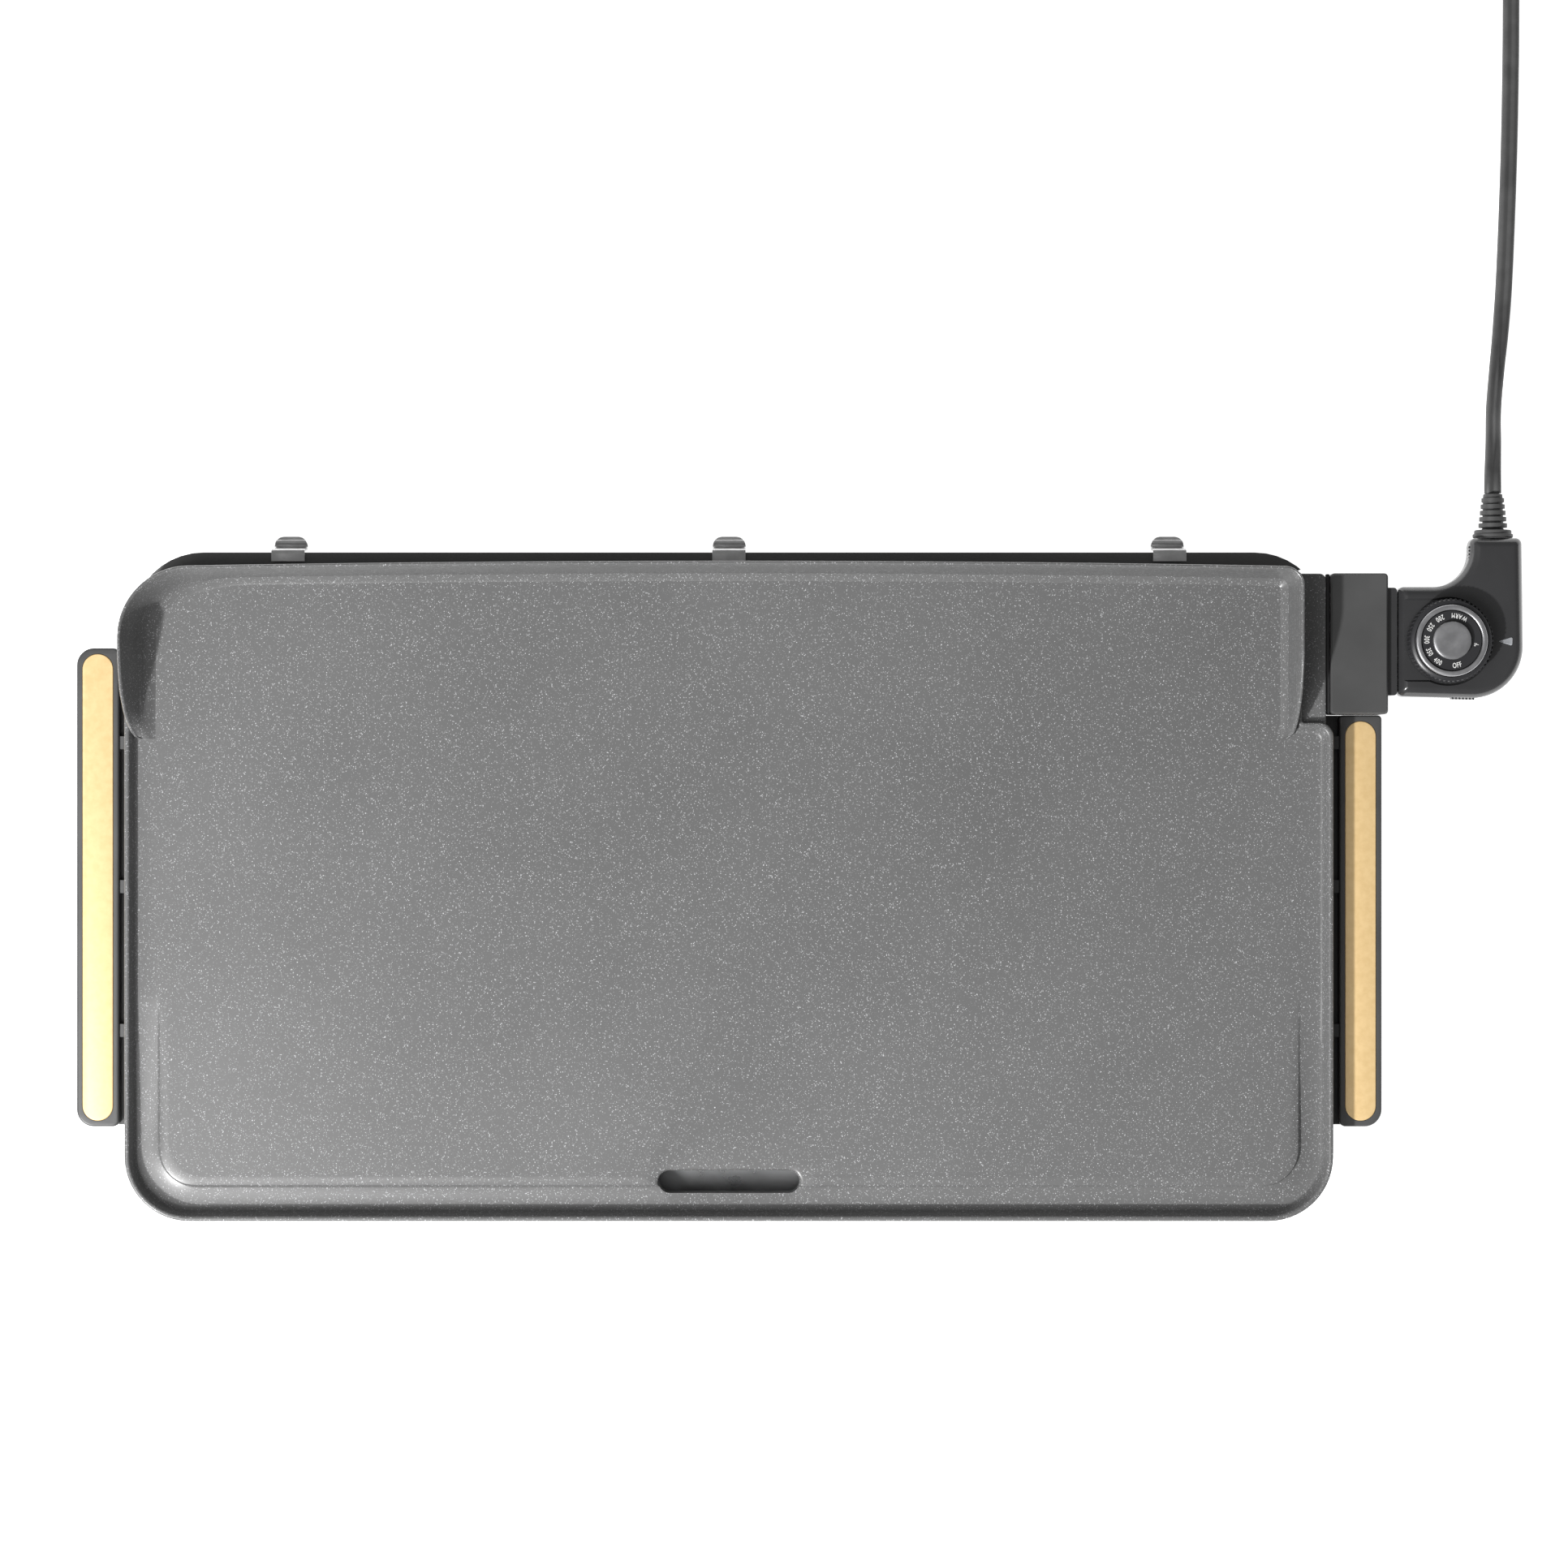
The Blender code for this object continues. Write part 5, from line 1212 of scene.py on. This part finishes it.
# %% Finishes by part
corner_names = ["front_left", "front_right", "rear_left", "rear_right"]
pair_names = ["housing_screw", "casing_screw"]
fasteners = [f"{name}_{end}" for name in pair_names for end in ("front", "rear")]
fasteners += [f"element_strap_{number}" for number in (1, 2, 3, 4)]
node_finishes = {
    GREY_PLASTIC: ["base_frame"] + [f"leg_{corner}" for corner in corner_names],
    HANDLE_PLASTIC: ["socket_housing"],
    FOOT_RUBBER: [f"foot_pad_{corner}" for corner in corner_names],
    SHEET_STEEL: ["heat_shield", "drip_tray", "tray_rail_left", "tray_rail_right"],
    SHEATH: ["heating_element"],
    CERAMIC: ["terminal_insulator"],
    BRASS: [f"{name}_{end}" for name in ("terminal_pin", "contact_sleeve") for end in ("front", "rear")],
    CONTROLLER_BLACK: ["controller_nose"],
    LAMP: ["pilot_lamp"],
    FASTENER_STEEL: fasteners + ["probe_rod", "thermostat_body", "dial_shaft"],
}
for material, names in node_finishes.items():
    for name in names:
        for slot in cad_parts[name].material_slots:
            slot.material = material
print("model parts finished:", sum(len(names) for names in node_finishes.values()))

# %% [markdown]
# ## Light and floor
# The griddle lies on a white table that has no edge in sight. The main light is a small lamp 2 m
# up at the front left: it throws fairly crisp shadows towards the back right, and it is near
# enough that the plate is brightest at its front left corner. A wide soft light overhead and a
# pale room fill the shadows. The floor gives off a little light of its own, like a lit sweep of
# paper, so it stays white under the piece.

# %% Floor, world and lamps
bpy.context.scene.view_settings.view_transform = "Standard"
bpy.context.scene.view_settings.look = "None"
FLOOR_HALF = 40
floor_corners = [(x * FLOOR_HALF, y * FLOOR_HALF, 0) for x, y in ((-1, -1), (1, -1), (1, 1), (-1, 1))]
floor_mesh = bpy.data.meshes.new("floor")
floor_mesh.from_pydata(floor_corners, [], [(0, 1, 2, 3)])
floor = new_object("floor", floor_mesh)
floor_finish = bpy.data.materials.new("white_floor")
floor_finish.use_nodes = True
paper = {"Base Color": (0.8, 0.8, 0.8, 1), "Roughness": 0.9}
paper |= {"Emission Color": (1, 1, 1, 1), "Emission Strength": 0.95}
set_sockets(floor_finish.node_tree.nodes["Principled BSDF"], paper)
floor_mesh.materials.append(floor_finish)

world = bpy.data.worlds.new("studio")
world.use_nodes = True
set_sockets(world.node_tree.nodes["Background"], {"Color": (1, 1, 1, 1), "Strength": 0.22})
bpy.context.scene.world = world


def lamp(name, place, aim, power, shape, size):
    """An area light that faces the place it aims at."""
    data = bpy.data.lights.new(name, "AREA")
    data.energy = power
    data.shape = shape
    data.size = size
    made = new_object(name, data)
    made.location = place
    made.rotation_euler = (Vector(aim) - Vector(place)).to_track_quat("-Z", "Y").to_euler()


lamp("key", (-1.45, -1.4, 2.0), (0, 0, 0), 92, "DISK", 0.14)
lamp("overhead", (-0.8, -0.7, 1.8), (-0.2, -0.1, 0), 20, "SQUARE", 1.0)
